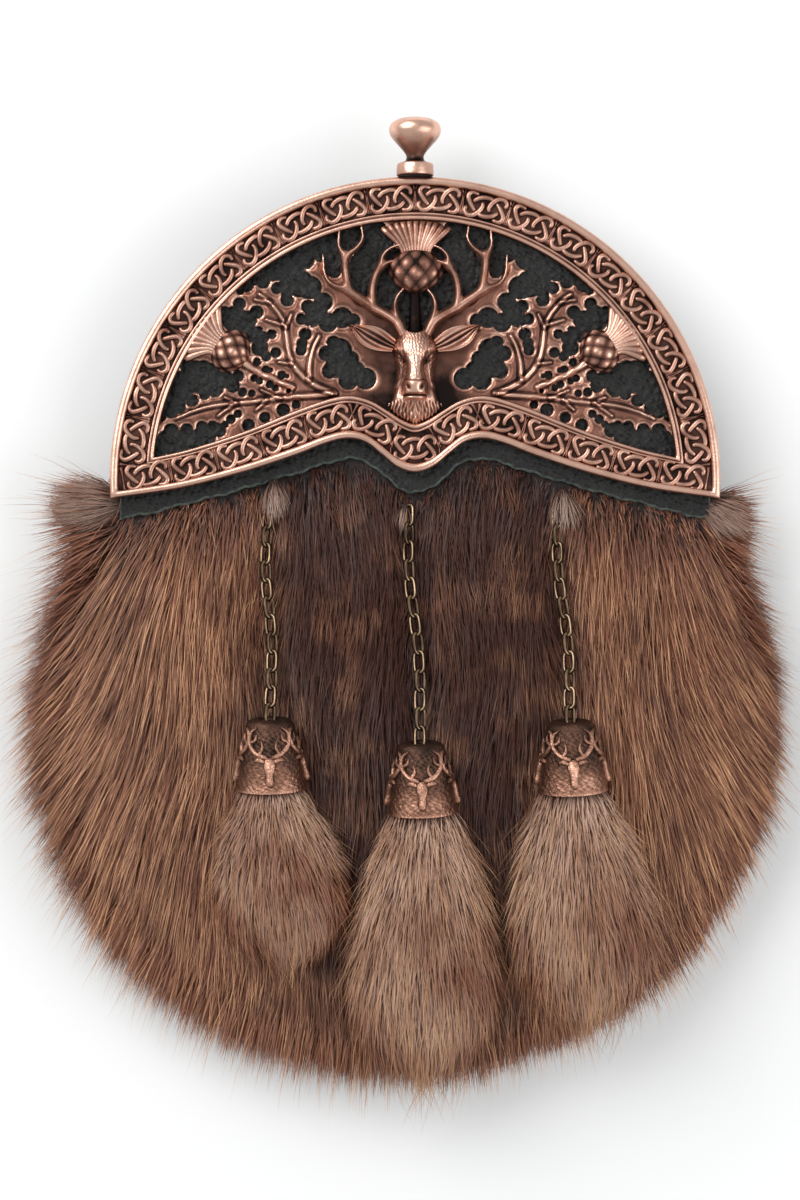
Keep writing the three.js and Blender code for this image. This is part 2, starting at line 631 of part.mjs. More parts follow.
function cap() {
  const outside = capProfile(0).map(({ y, r }) => new THREE.Vector2(r, y));
  const inside = capProfile(CAP_WALL).map(({ y, r }) => new THREE.Vector2(r, y));
  const hole = [new THREE.Vector2(CAP_HOLE_R, 0), new THREE.Vector2(CAP_HOLE_R, -CAP_WALL)];
  const closed = [...outside, ...hole, ...inside.reverse(), outside[0]];
  const wall = new THREE.LatheGeometry(closed, CAP_SIDES);
  const stags = Array.from({ length: CAP_STAGS }, (_, i) => capStag(i));
  const hollow = capProfile(CAP_WALL).map(({ y, r }) => new THREE.Vector2(r, y));
  const core = new THREE.LatheGeometry(
    [new THREE.Vector2(0, -CAP_LENGTH - 1), new THREE.Vector2(hollow[0].x, -CAP_LENGTH - 1), ...hollow,
      new THREE.Vector2(0, -CAP_WALL)],
    CAP_SIDES,
  );
  return geometryOf(fuse([wall, ...stags]).subtract(solidOf(core)));
}

// Fur below the cap: a head that plugs the cap and swells into a core, and locks that spread round it.
function tasselFur({ furLength, furWidth, sway }) {
  const headR = CAP_MOUTH_R - CAP_WALL - GAP - 0.8;
  const headTop = -6.5;
  const stations = [
    { x: 0, y: headTop, halfWidth: headR - 1.7, halfThick: headR - 1.7 },
    { x: 0, y: -CAP_LENGTH - LOCK_ROOT, halfWidth: headR, halfThick: headR },
    { x: sway * 0.5, y: -CAP_LENGTH - furLength * 0.5, halfWidth: furWidth * 0.36, halfThick: TASSEL_THICK * 0.44 },
    { x: sway * 0.85, y: -CAP_LENGTH - furLength * 0.88, halfWidth: furWidth * 0.24, halfThick: TASSEL_THICK * 0.26 },
  ];
  const head = loft(stations.map(({ x, y, halfWidth, halfThick }) =>
    ringAt(new THREE.Vector3(x, y, 0), new THREE.Vector3(0, 1, 0), new THREE.Vector3(0, 0, 1), halfWidth, halfThick, 8),
  ));
  const locks = Array.from({ length: TASSEL_LOCKS }, (_, i) => {
    const angle = (2 * Math.PI * i) / TASSEL_LOCKS;
    const reach = furLength * (i % 2 ? 1 : 0.9);
    const at = (share, spread) =>
      new THREE.Vector3(
        Math.cos(angle) * furWidth * 0.5 * spread + sway * share,
        -CAP_LENGTH - LOCK_ROOT - (reach - LOCK_ROOT) * share,
        Math.sin(angle) * TASSEL_THICK * 0.5 * spread,
      );
    const points = [at(0, 0.3), at(0.35, 0.66), at(0.75, 0.8), at(1, 0.62)];
    return lock(points, furWidth * 0.4, 6.4, new THREE.Vector3(Math.cos(angle), 0, Math.sin(angle) + 0.2));
  });
  return geometryOf(fuse([head, ...locks]));
}

// Assembly
const sporran = new THREE.Group();
sporran.name = "sporran";

function addPiece(name, geometry, finish, parent = sporran) {
  const mesh = new THREE.Mesh(geometry, new THREE.MeshStandardMaterial(finish));
  mesh.name = name;
  parent.add(mesh);
  return mesh;
}

addPiece("back_panel", backPanel(), BLACK_LEATHER);
addPiece("gusset", gusset(), BLACK_LEATHER);
addPiece("fur_front", furFront(), BROWN_FUR);
addPiece("leather_facing", leatherFacing(), BLACK_LEATHER);
addPiece("cantle", cantle(), COPPER);
addPiece("knob", knob(), COPPER);

for (const tassel of TASSELS) {
  addPiece(`chain_${tassel.name}`, chain(tassel), CHAIN_BRASS);
  const hung = new THREE.Group();
  const { top, dip, turn } = capPlace(tassel);
  hung.position.copy(top);
  hung.rotation.set(dip, 0, turn, "ZXY");
  addPiece(`cap_${tassel.name}`, cap(), DARK_COPPER, hung);
  addPiece(`tassel_${tassel.name}`, tasselFur(tassel), TASSEL_FUR, hung);
  sporran.add(hung);
}

export default sporran;
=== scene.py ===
import math

import bmesh
import bpy
import numpy as np
from mathutils import Matrix, Vector


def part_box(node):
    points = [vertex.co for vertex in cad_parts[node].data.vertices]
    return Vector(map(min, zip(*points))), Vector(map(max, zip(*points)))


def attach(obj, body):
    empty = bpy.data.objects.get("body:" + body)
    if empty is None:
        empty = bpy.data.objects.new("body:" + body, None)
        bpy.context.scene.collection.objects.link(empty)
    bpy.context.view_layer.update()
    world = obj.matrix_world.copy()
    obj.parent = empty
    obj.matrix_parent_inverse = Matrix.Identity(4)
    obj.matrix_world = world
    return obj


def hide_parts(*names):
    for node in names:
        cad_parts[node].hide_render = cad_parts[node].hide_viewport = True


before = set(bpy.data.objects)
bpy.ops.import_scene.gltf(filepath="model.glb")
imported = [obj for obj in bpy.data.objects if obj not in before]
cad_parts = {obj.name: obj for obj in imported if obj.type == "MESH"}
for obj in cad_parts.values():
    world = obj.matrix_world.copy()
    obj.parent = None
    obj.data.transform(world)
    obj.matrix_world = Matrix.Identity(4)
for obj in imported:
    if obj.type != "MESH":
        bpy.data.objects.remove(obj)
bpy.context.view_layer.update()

# Sizes in millimetres, in the part's own frame: +Y up the front, +Z out of it
MM = 0.001
BACK_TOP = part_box("back_panel")[1][2] / MM
FACING_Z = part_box("leather_facing")[0][2] / MM
FACING_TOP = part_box("leather_facing")[1][2] / MM
CANTLE_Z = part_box("cantle")[0][2] / MM
KNOB_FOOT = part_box("knob")[0][1] / MM
KNOB_Z = (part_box("knob")[0][2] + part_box("knob")[1][2]) / 2 / MM

# Pouch
ARCH_Y = 29.4
BACK_ARCH_R = 72.5
POUCH_HALF_WIDTH = 83
POUCH_WIDEST_Y = -25
POUCH_DEPTH_BELOW = 80
POUCH_EASE = 22
LEATHER_THICK = 2
GUSSET_INSET = 1
MOUTH_HALF_WIDTH = 50
MOUTH_BASE_Y = 70
STRAP_SLOT = dict(x=30, y=60, width=6, height=34)
STITCH = dict(length=2.6, pitch=4, thick=0.7, inset=3.5, sunk=0.25)

# Pelt
HIDE = 2.2
HIDE_BASE = 17.3
HIDE_TOP_Y = 42
DOME = 8
DOME_FULL_Y = -20
DOME_FLAT_Y = 22
EDGE_FUR = 15.5
SIDE_FUR = 4.5

# Cantle
CANTLE_R = 76.1
FIELD_R = 65.3
FACING_ARCH_R = 74
FACING_DROP = 5
ARCH_KNOTS = 18
LOWER_KNOTS = 13

# Half of the cantle's scalloped lower edge: the casting's edge and the edge of its field
LOWER_EDGE = [
    dict(outer=(0, 31.8), inner=(0, 43.9)),
    dict(outer=(4.4, 33.1), inner=(3.2, 45)),
    dict(outer=(8.4, 36.3), inner=(7, 47.4)),
    dict(outer=(12.4, 39.3), inner=(11.2, 49.8)),
    dict(outer=(17, 40.2), inner=(16, 51)),
    dict(outer=(22.5, 38.9), inner=(21, 50.3)),
    dict(outer=(30.5, 35.8), inner=(29, 47.6)),
    dict(outer=(44, 31.5), inner=(42, 42.3)),
    dict(outer=(59, 27.8), inner=(55, 38)),
    dict(outer=(76, 25.3), inner=(64.9, 35.6)),
]

# Section of the border: share of the way in from the edge, height, and how bright the metal is rubbed
BORDER_SECTION = [
    (0, 0.1, 0.3), (0, 2.5, 0.8), (0.012, 3, 1), (0.045, 3.35, 1), (0.1, 3.45, 0.95), (0.15, 3.3, 1),
    (0.18, 2.9, 0.8), (0.195, 2.1, 0.1), (0.22, 1.95, 0.12), (0.5, 1.9, 0.14), (0.79, 1.95, 0.12),
    (0.815, 2.1, 0.1),
    (0.825, 2.5, 0.75), (0.845, 2.75, 0.95), (0.87, 2.6, 0.7), (0.885, 2.35, 0.15), (0.9, 2.6, 0.7),
    (0.93, 2.95, 1), (0.965, 2.85, 1), (0.99, 2.5, 0.8), (1, 2, 0.4), (1, 0.1, 0.1),
]

# Strands of one knot panel, along and across the band; the other half is these turned half round
KNOT_STRANDS = [
    [(-2.4, 2.7), (-4.1, 2.9), (-4.9, 1.9), (-4.5, 0.8), (-3.4, -0.6), (-2.5, -1.5)],
    [(-4.7, -0.8), (-5, -1.9), (-4, -2.9), (-2.5, -2.6), (-1.3, -1.3), (-0.8, 0), (-1, 1)],
    [(-3.3, 0.7), (-2.1, 1.8), (-0.6, 2.3), (0.8, 2.3), (1.6, 1.9)],
]
STRAND = dict(half_width=0.7, rise=0.9)
KNOT_OVERRUN = 2.2

# Holes pierced in the left half of the field: overlapping rounds (x, y, radius),
# whose meetings leave the leaves' spines
FIELD_HOLES = dict(
    above_leaf=[
        (-37.9, 79.6, 2), (-34.5, 77.9, 1.7), (-31.9, 75, 1.9), (-32, 76.6, 1.7), (-26.7, 73.3, 1.9),
        (-28.3, 70.2, 1.7), (-27.4, 66.4, 1.8), (-28.2, 64.1, 1.6), (-28.45, 62.4, 1.6), (-35, 81.7, 2.4),
        (-31, 82.5, 3.6), (-28.7, 79, 3.6), (-26.3, 78, 3.2), (-27.6, 85, 2.7), (-23, 74.4, 2.6),
        (-25.8, 70.4, 2.5), (-24, 72.4, 2.4), (-21.7, 69.3, 2.6), (-18.2, 70.5, 2.8), (-15.4, 69.7, 2),
        (-32.9, 79.3, 1.5), (-33, 77.9, 1.3), (-30, 86.3, 2.4), (-33.8, 84.4, 2.2), (-37.4, 82.2, 1.7),
    ],
    beside_ear=[
        (-18.8, 62.3, 3.25), (-16.1, 60.15, 2.3), (-12.3, 55.3, 2.9), (-16.6, 55, 2.7), (-19.6, 58.4, 3.1),
        (-22.2, 61.6, 2.1), (-20.4, 64.3, 1.9), (-14.6, 57.6, 2.2), (-21.3, 57.2, 2.1), (-17, 58, 1.8),
    ],
    upper_corner=[(-41.9, 78.5, 1.7), (-43.6, 77, 0.9), (-40.5, 79.6, 1.2)],
    behind_tuft=[
        (-43.9, 73.9, 1.8), (-39.6, 71.9, 1.9), (-45.1, 70.2, 3.4), (-41.9, 69.9, 2.6), (-47.7, 71.9, 1.7),
        (-39.1, 67.3, 1.3), (-35.8, 66.4, 1.45), (-37.9, 65.6, 1.7), (-34.8, 61.8, 1.55), (-38.8, 63, 2.3),
        (-37.2, 60.9, 1.5), (-39.4, 59.5, 1.3), (-40.8, 66.4, 2.3), (-43.1, 67.6, 1.7),
    ],
    above_stem=[(-37.3, 57.6, 1.2), (-36.1, 57.4, 0.9), (-33.3, 56.2, 1.3), (-32, 55.9, 0.8)],
    below_stem=[
        (-40.2, 55.4, 1.15), (-38.8, 54.7, 1.1), (-36.3, 53.8, 1.2), (-34.9, 52.9, 1.1),
        (-31.6, 52.2, 0.85)
    ],
    under_thistle=[
        (-55.1, 56.7, 3.4), (-58, 53.8, 3.7), (-51.7, 55.8, 3.7), (-47.7, 55.2, 2.6), (-44.2, 56, 1.7),
        (-45.4, 53.5, 1.9), (-43.1, 51.9, 1.4), (-40.8, 51.6, 1.2), (-50, 52.9, 2.4), (-52.6, 51.5, 1.7),
        (-55.7, 49.9, 1.9), (-59.7, 50.1, 2.9), (-60.9, 47.2, 2), (-56.9, 58.4, 2), (-58.6, 47.9, 1.6),
        (-52.8, 58.1, 2), (-61.4, 52.5, 2.4), (-63, 49, 2), (-54.3, 53, 1.6), (-60.4, 56, 2),
        (-63.6, 46, 1.6),
    ],
    corner=[
        (-61.6, 39.6, 3.2), (-57, 39.6, 3.5), (-52.5, 41.1, 3.1), (-49, 42.4, 2), (-60.9, 42.2, 2.1),
        (-57, 42.5, 1.8), (-53.2, 43.2, 1.7), (-50.6, 43.6, 1.4), (-63.8, 38.2, 2.6), (-60, 37.6, 2.4),
    ],
    slanting=[(-44.3, 46.5, 1.25), (-46, 45.2, 1.4), (-47.4, 43.9, 1.1)],
    rim_holes=[(-41.6, 43.6, 1.8), (-37.5, 45.6, 1.6), (-32.9, 47.5, 1.87), (-29.7, 48.8, 1.3)],
    outside_antler=[
        (-19.9, 87, 1.1), (-20, 81.9, 1.4), (-19.3, 84.4, 1.2), (-23.4, 87.6, 3), (-20.9, 85, 1.6),
        (-26, 88.4, 1.6), (-21.4, 82.6, 1.3), (-20.6, 89.6, 2), (-24.6, 90, 1.8)
    ],
    antler_fork=[(-16.2, 89.6, 2.6), (-17.2, 91.6, 1.6), (-14.9, 91.6, 1.6)],
    inside_antler=[
        (-11.6, 88.4, 3.6), (-9.2, 91.2, 2.2), (-13.1, 81, 3.1), (-14.8, 78.4, 1.9), (-12.6, 77, 2),
        (-13.2, 75.6, 1.3), (-10.4, 85.6, 2), (-14.2, 84, 2.2), (-14.6, 91, 2), (-12, 92.4, 2.2),
    ],
    beside_brow=[(-7.4, 79, 2.6), (-8.4, 76, 1.9), (-6.8, 75, 2.2), (-7.9, 72.9, 1.6), (-6.4, 82.3, 1.6),
                 (-4, 81, 3),
                 (-6.5, 73.2, 1.5), (-8.8, 74.5, 1.5), (-2.8, 74.2, 1.8), (-3.2, 76.8, 1.8),
                 (-11.5, 84, 1.8), (-6.6, 86, 1.3)],
    between_antlers=[
        (-2, 68.4, 1.2), (0, 70, 2.6), (0, 73.4, 3.4), (-1.6, 75.9, 2.2), (-2.4, 71.6, 1.6),
        (-4.8, 86.6, 1.2), (-7.4, 88.6, 2), (-3, 79.4, 2.4)
    ],
)

# Raised veins of the leaves and the thistle's stem on the left side, with their half widths
VEINS = [
    dict(route=[(-20.1, 51.5), (-23.6, 52.9), (-26.7, 54.7), (-29.3, 57.2), (-31, 60.1), (-31.9, 63.8),
                (-32.3, 67.9),
                (-33.6, 71), (-36.2, 74.2), (-38.8, 76.3)], root=0.62, tip=0.3),
    dict(route=[(-26.4, 54.9), (-26.3, 59), (-25.3, 63), (-23.9, 65.9)], root=0.5, tip=0.26),
    dict(route=[(-21, 51.3), (-33.3, 50.4), (-39.1, 49.7), (-44.8, 49.1), (-50, 48.5), (-55.1, 47.2),
                (-59.6, 45.4)],
         root=0.55, tip=0.26),
    dict(route=[(-33, 68.6), (-37.1, 69.9)], root=0.3, tip=0.15),
    dict(route=[(-32.3, 68), (-30.8, 71.2)], root=0.3, tip=0.15),
    dict(route=[(-30.8, 58.9), (-33.9, 59.3)], root=0.3, tip=0.15),
    dict(route=[(-36.2, 74.2), (-39.9, 74.9)], root=0.3, tip=0.15),
    dict(route=[(-33.6, 50.3), (-38.3, 52.4)], root=0.3, tip=0.15),
    dict(route=[(-44.5, 49.2), (-47.5, 50.6)], root=0.3, tip=0.15),
    dict(route=[(-44.8, 49), (-47.4, 47.2), (-49.1, 45.9)], root=0.3, tip=0.15),
    dict(route=[(-37, 49.9), (-39.6, 47.4)], root=0.3, tip=0.15),
    dict(route=[(-42.4, 59), (-36.9, 55.9), (-30.6, 53)], root=0.75, tip=0.5),
]
FIELD_STEP = 0.32
LEAF_MARGIN = 0.25
ANTLER_HOLES = ("outside_antler", "antler_fork", "inside_antler", "beside_brow", "between_antlers")
HOLE_MELT = 0.5

# Antler beams and tines of the left side, with their half widths
ANTLERS = [
    dict(route=[(-2.9, 66.2), (-5, 69.7), (-9.9, 72.7), (-14.4, 75.6), (-17.4, 77.8)], root=1.5, tip=1.15),
    dict(route=[(-17, 77.5), (-20.6, 78.6), (-22.5, 81.2), (-23, 86.2)], root=1.1, tip=0.2),
    dict(route=[(-16.8, 77.4), (-17.1, 80.1), (-17.5, 83.6), (-17.5, 86.3)], root=1.15, tip=1),
    dict(route=[(-17.5, 85.6), (-19, 88.4), (-18.9, 92.4)], root=0.95, tip=0.2),
    dict(route=[(-17.4, 85.8), (-14.6, 87.8), (-13.1, 90.2), (-13.4, 93.4)], root=0.9, tip=0.2),
    dict(route=[(-10.4, 72.9), (-10.7, 77), (-9.9, 80.8), (-8.2, 83.8)], root=1.15, tip=0.95),
    dict(route=[(-8.6, 83.2), (-5.8, 84.4), (-1.4, 84.7)], root=0.9, tip=0.2),
    dict(route=[(-8.3, 83.4), (-8, 85.8), (-6.2, 87.7), (-3.2, 88.8)], root=0.9, tip=0.2),
    dict(route=[(-3.9, 68.4), (-5, 72.7), (-4.5, 75.6), (-2.6, 78)], root=1.15, tip=0.2),
]
ANTLER_STEP = 0.2
ANTLER_RISE = 2.5

# Stag's head from the beard up: y, half width of the coat, its height,
# half width of the muzzle, and height of the front
HEAD_SECTIONS = [
    (43.9, 0.7, 2, 0.5, 2.4), (45.2, 3.4, 3, 1.4, 3.6), (46.8, 5.6, 3.9, 2.2, 4.5),
    (48.2, 6.4, 4.5, 2.7, 5.5),
    (50, 6, 4.9, 2.9, 7.1), (51.2, 5.6, 5, 3.1, 8.7), (52.6, 5.2, 5, 3, 9.4), (54, 4.9, 5, 2.85, 9.5),
    (55.6, 4.7, 5.1, 2.3, 9), (58, 4.7, 5.5, 2, 8.4), (60, 5.2, 5.9, 2.4, 7.9), (62, 5.6, 6.2, 3.2, 7.5),
    (64, 5.1, 5.9, 3.9, 7), (66, 4.4, 5, 4, 6.1), (68, 3.8, 3.9, 3.4, 4.8), (69.4, 2.6, 3, 2, 3.4),
]
HEAD_STEP = 0.16
EAR = dict(route=[(-5.2, 63.2), (-9, 64.7), (-12.4, 66.1), (-16, 68.4)], half=[1.5, 2.7, 2.4, 0.15])

# Thistles: bulb's centre, the way that the tuft points, sizes, and the tuft's strands
THISTLES = [
    dict(x=0.2, y=81.8, turn=90, bulb=5.6, reach=12.6, spread=8.4, strands=11, rub_and_painted_light=0.7),
    dict(x=-45.7, y=61.9, turn=148, bulb=4.7, reach=10.6, spread=7.6, strands=9, rub_and_painted_light=0.9),
    dict(x=45.7, y=61.9, turn=32, bulb=4.7, reach=10.6, spread=7.6, strands=9, rub_and_painted_light=0.9),
]

# Knob profile: distance from the cantle's edge, radius, and rubbed brightness
KNOB_PROFILE = [
    (0, 4.3, 0.2), (0.1, 4.6, 0.8), (2.4, 4.55, 0.9), (2.9, 4.2, 0.8), (3.3, 3, 0.2), (3.8, 2.3, 0.1),
    (4.8, 2.2, 0.3),
    (6, 2.9, 0.5), (7.6, 4.3, 0.7), (9.2, 5.7, 0.9), (10.6, 6.4, 1), (11.9, 6.4, 1), (13, 5.8, 1),
    (13.8, 4.4, 0.9), (14.25, 2.4, 0.8), (14.35, 0.02, 0.8),
]

# Tassels: the chain's root, the cap's top and turn, the links, and the fur below the cap
TASSELS = [
    dict(
        name="left", root=(-36.7, 22.4), cap=(-35.7, -29), turn=1.5, links=12, length=44, width=33,
        sway=2.6, pale=0.68
    ),
    dict(
        name="middle", root=(-1.5, 23.4), cap=(1.2, -34.7), turn=2, links=13, length=67, width=36,
        sway=-1.5, pale=0.85
    ),
    dict(
        name="right", root=(35.6, 22.8), cap=(37.9, -29.5), turn=2.5, links=12, length=57, width=35,
        sway=1.5, pale=0.85
    ),
]
TASSEL_DIP = 6

# Pale tufts at the chains' roots and beside the cantle's corners
ROOT_TUFTS = [
    dict(
        name="tuft_left", x0=-35.2, y0=28, z0=FACING_TOP, wide=1.5, tall=2.4,
        flow=(0.06, -1, 0), length=8, count=260, seed=41,
    ),
    dict(
        name="tuft_middle", x0=-2.6, y0=22.8, z0=FACING_TOP, wide=1, tall=1.4,
        flow=(-0.1, -1, 0), length=5.5, count=110, seed=42,
    ),
    dict(
        name="tuft_right", x0=37, y0=26, z0=FACING_TOP, wide=1.5, tall=2.2,
        flow=(0.1, -1, 0), length=8, count=240, seed=43,
    ),
    dict(
        name="tuft_corner_left", x0=-77, y0=24.5, z0=HIDE_BASE + HIDE, wide=5, tall=3.6,
        flow=(-1, -0.1, -0.1), length=12, count=1100, seed=44,
    ),
    dict(
        name="tuft_corner_right", x0=75, y0=23.5, z0=HIDE_BASE + HIDE, wide=4, tall=3.2,
        flow=(0.8, -0.5, -0.1), length=9, count=600, seed=45,
    ),
]

# How each coat of hair grows: hair width and lock size in mm,
# and how far hairs lift, stray and draw into locks
PELT_COATS = dict(
    fur_under=dict(count=36000, width=0.4, lift=0.13, stray=0.2, lock_size=5, lock_pull=0.3, seed=11),
    fur_coat=dict(count=38000, width=0.29, lift=0.18, stray=0.24, lock_size=6, lock_pull=0.45, seed=12),
    fur_guard=dict(count=20000, width=0.19, lift=0.27, stray=0.2, lock_size=5, lock_pull=0.65, seed=14),
    fur_stray=dict(count=2500, width=0.16, lift=0.3, stray=0.4, lock_size=9, lock_pull=0.2, seed=15),
    fur_edge=dict(count=30000, width=0.33, lift=0.3, stray=0.3, lock_size=5, lock_pull=0.4, seed=13),
)
TUFT_COAT = dict(width=0.2, lift=0.25, stray=0.3, lock_size=3, lock_pull=0.5)
TASSEL_COAT = dict(width=0.29, lift=0.14, stray=0.22, lock_size=5, lock_pull=0.4)
TASSEL_LONG_COAT = dict(width=0.15, lift=0.2, stray=0.34, lock_size=8, lock_pull=0.3)
TASSEL_HAIRS_PER_MM = 190
TASSEL_SEED = 21
SHORT_TO_LONG = 9
LONG_REACH = 1.5


TASSEL_THICK = 15
CAP_TOP_R = 5.6
CAP_MOUTH_R = 8.6
CAP_LENGTH = 17.4
CAP_WALL = 1.2
CAP_LIFT = 0.6
LINK = dict(width=3.6, wire=0.45, bite=0.2, turn=40)
CHAIN_LIFT = 5.2

# Camera: straight above, framing the height of the photograph at the cantle's level
FRAME_HEIGHT = 300
FRAME_CENTRE_X = -3.75
NEAR_CLIP = 0.01
FLOOR_REACH = 3
FLOOR_DROP = 0.05
SKY_STRENGTH = 0.6
LIGHT_AIM = (0, 0, 0.02)

# Soft lights: place and size in metres
LIGHTS = [
    dict(name="key", place=(-0.55, 0.5, 0.75), size=0.8, watts=8),
    dict(name="fill", place=(0.7, -0.2, 0.7), size=0.8, watts=4),
]
LENS = 85
SENSOR = 36


# Shape helpers
def smoothstep(low, high, value):
    share = np.clip((np.asarray(value, float) - low) / (high - low), 0, 1)
    return share * share * (3 - 2 * share)


def spline(points, count):
    """Smooth curve through points, sampled evenly between them."""
    points = np.asarray(points, float)
    held = np.vstack([2 * points[0] - points[1], points, 2 * points[-1] - points[-2]])
    at = np.linspace(0, len(points) - 1, count)
    i = np.minimum(at.astype(int), len(points) - 2)
    t = (at - i)[:, None]
    a, b, c, d = (held[i + k] for k in range(4))
    return 0.5 * (
        2 * b + (c - a) * t + (2 * a - 5 * b + 4 * c - d) * t**2 + (3 * b - a - 3 * c + d) * t**3
    )


def spaced(points, count):
    """Points at equal distances along a path."""
    points = np.asarray(points, float)
    far = np.concatenate([[0], np.cumsum(np.linalg.norm(np.diff(points, axis=0), axis=1))])
    at = np.linspace(0, far[-1], count)
    return np.stack([np.interp(at, far, points[:, k]) for k in range(points.shape[1])], axis=1)


def skin(rings, loop=False, caps=True):
    """Faces through rings of points: a tube with flat ends, or a closed loop."""
    rings = np.asarray(rings, float)
    rows, sides, _ = rings.shape
    row = np.arange(rows if loop else rows - 1)[:, None]
    side = np.arange(sides)[None, :]
    here = row * sides
    ahead = (row + 1) % rows * sides
    after = (side + 1) % sides
    corners = np.stack([here + side, here + after, ahead + after, ahead + side], axis=-1)
    faces = corners.reshape(-1, 4).tolist()
    if caps and not loop:
        faces.append(list(range(sides))[::-1])
        faces.append(list(range((rows - 1) * sides, rows * sides)))
    return rings.reshape(-1, 3), faces


def sweep(path, wide, tall, sides=10):
    """A tapering tube along a path, with its half width across and half height towards +Z."""
    path = np.asarray(path, float)
    wide = np.broadcast_to(np.asarray(wide, float), len(path))
    tall = np.broadcast_to(np.asarray(tall, float), len(path))
    ahead = np.gradient(path, axis=0)
    ahead /= np.linalg.norm(ahead, axis=1)[:, None]
    across = np.cross(ahead, (0, 0, 1))
    across /= np.linalg.norm(across, axis=1)[:, None]
    lift = np.cross(across, ahead)
    angle = np.arange(sides) * 2 * np.pi / sides
    rings = (
        path[:, None]
        + across[:, None] * (np.cos(angle) * wide[:, None])[..., None]
        + lift[:, None] * (np.sin(angle) * tall[:, None])[..., None]
    )
    return skin(rings)


def gather(parts):
    """Several (points, faces, rub) parts as one."""
    points, faces, rub_and_painted_light, start = [], [], [], 0
    for part_points, part_faces, part_rub in parts:
        points.append(np.asarray(part_points, float))
        faces += [[i + start for i in face] for face in part_faces]
        rub_and_painted_light.append(np.broadcast_to(np.asarray(part_rub, float), len(part_points)))
        start += len(part_points)
    return np.vstack(points), faces, np.concatenate(rub_and_painted_light)


def mirrored(part):
    points, faces, rub_and_painted_light = part
    return np.asarray(points) * (-1, 1, 1), [face[::-1] for face in faces], rub_and_painted_light


def solid_mesh(name, points, faces, rub_and_painted_light=None, outward=True):
    """A mesh from millimetre points, with its normals turned out and its brightness kept: rubbed wear, and
    on the stag's face also a painted highlight and painted shade.
    """
    mesh = bpy.data.meshes.new(name)
    mesh.from_pydata((np.asarray(points) * MM).tolist(), [], faces)
    if rub_and_painted_light is not None:
        layer = mesh.attributes.new("rub_and_painted_light", "FLOAT", "POINT")
        layer.data.foreach_set("value", np.asarray(rub_and_painted_light, np.float32))
    if outward:
        edit = bmesh.new()
        edit.from_mesh(mesh)
        bmesh.ops.recalc_face_normals(edit, faces=edit.faces)
        edit.to_mesh(mesh)
        edit.free()
    mesh.shade_smooth()
    return mesh


def place_piece(name, mesh, material, slot, *nodes):
    """Puts a finished mesh on the part, in place of the nodes that it stands for."""
    mesh.materials.clear()
    mesh.materials.append(material)
    piece = bpy.data.objects.new(name, mesh)
    bpy.context.scene.collection.objects.link(piece)
    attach(piece, "root")
    if nodes:
        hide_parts(*nodes)
    return piece


# Node trees
def add_node(tree, kind, inputs=None, **settings):
    """Adds a node, with its settings, and sets or links its inputs by name or number."""
    made = tree.nodes.new(kind)
    for key, value in settings.items():
        setattr(made, key, value)
    for key, value in (inputs or {}).items():
        if isinstance(value, bpy.types.NodeSocket):
            tree.links.new(value, made.inputs[key])
        else:
            made.inputs[key].default_value = value
    return made


def linear(hex_colour):
    """An sRGB hex colour as linear RGBA."""
    parts = [int(hex_colour[i : i + 2], 16) / 255 for i in (1, 3, 5)]
    return [c / 12.92 if c <= 0.04045 else ((c + 0.055) / 1.055) ** 2.4 for c in parts] + [1]


def new_material(name):
    """A material with its tree, object coordinates and surface shader."""
    material = bpy.data.materials.new(name)
    material.use_nodes = True
    tree = material.node_tree
    tree.nodes.clear()
    shader = add_node(tree, "ShaderNodeBsdfPrincipled")
    add_node(tree, "ShaderNodeOutputMaterial", {"Surface": shader.outputs[0]})
    return material, tree, shader, add_node(tree, "ShaderNodeTexCoord").outputs["Object"]


def per_mm(size):
    """Texture scale for a feature of this size in millimetres."""
    return 1 / (size * MM)


def antique_metal(name, dark, middle, bright, grain, hammer):
    """Plated casting, blackened and then rubbed back: dark in the hollows, bright where it stands proud; on
    the stag's face its brightness also holds a painted highlight on the eyes and painted shade on the
    forehead.
    """
    material, tree, shader, where = new_material(name)
    rub_and_painted_light = add_node(tree, "ShaderNodeAttribute", attribute_name="rub_and_painted_light").outputs["Fac"]
    patches = add_node(tree, "ShaderNodeTexNoise", {"Vector": where, "Scale": per_mm(5), "Detail": 4})
    specks = add_node(tree, "ShaderNodeTexNoise", {"Vector": where, "Scale": per_mm(grain), "Detail": 3})
    uneven = add_node(tree, "ShaderNodeMath", {0: patches.outputs["Fac"], 1: 0.5}, operation="SUBTRACT")
    worn = add_node(
        tree, "ShaderNodeMath", {0: uneven.outputs[0], 1: 0.7, 2: rub_and_painted_light}, operation="MULTIPLY_ADD"
    )
    ramp = add_node(tree, "ShaderNodeValToRGB", {"Fac": worn.outputs[0]})
    ramp.color_ramp.elements[0].position = 0.05
    ramp.color_ramp.elements[0].color = linear(dark)
    ramp.color_ramp.elements[1].position = 1
    ramp.color_ramp.elements[1].color = linear(bright)
    ramp.color_ramp.elements.new(0.55).color = linear(middle)
    tree.links.new(ramp.outputs["Color"], shader.inputs["Base Color"])
    rough = add_node(tree, "ShaderNodeMapRange", {"Value": worn.outputs[0], "To Min": 0.58, "To Max": 0.3})
    tree.links.new(rough.outputs["Result"], shader.inputs["Roughness"])
    shader.inputs["Metallic"].default_value = 1
    bump = add_node(
        tree, "ShaderNodeBump", {"Height": specks.outputs["Fac"], "Strength": hammer, "Distance": 0.4 * MM}
    )
    tree.links.new(bump.outputs["Normal"], shader.inputs["Normal"])
    return material


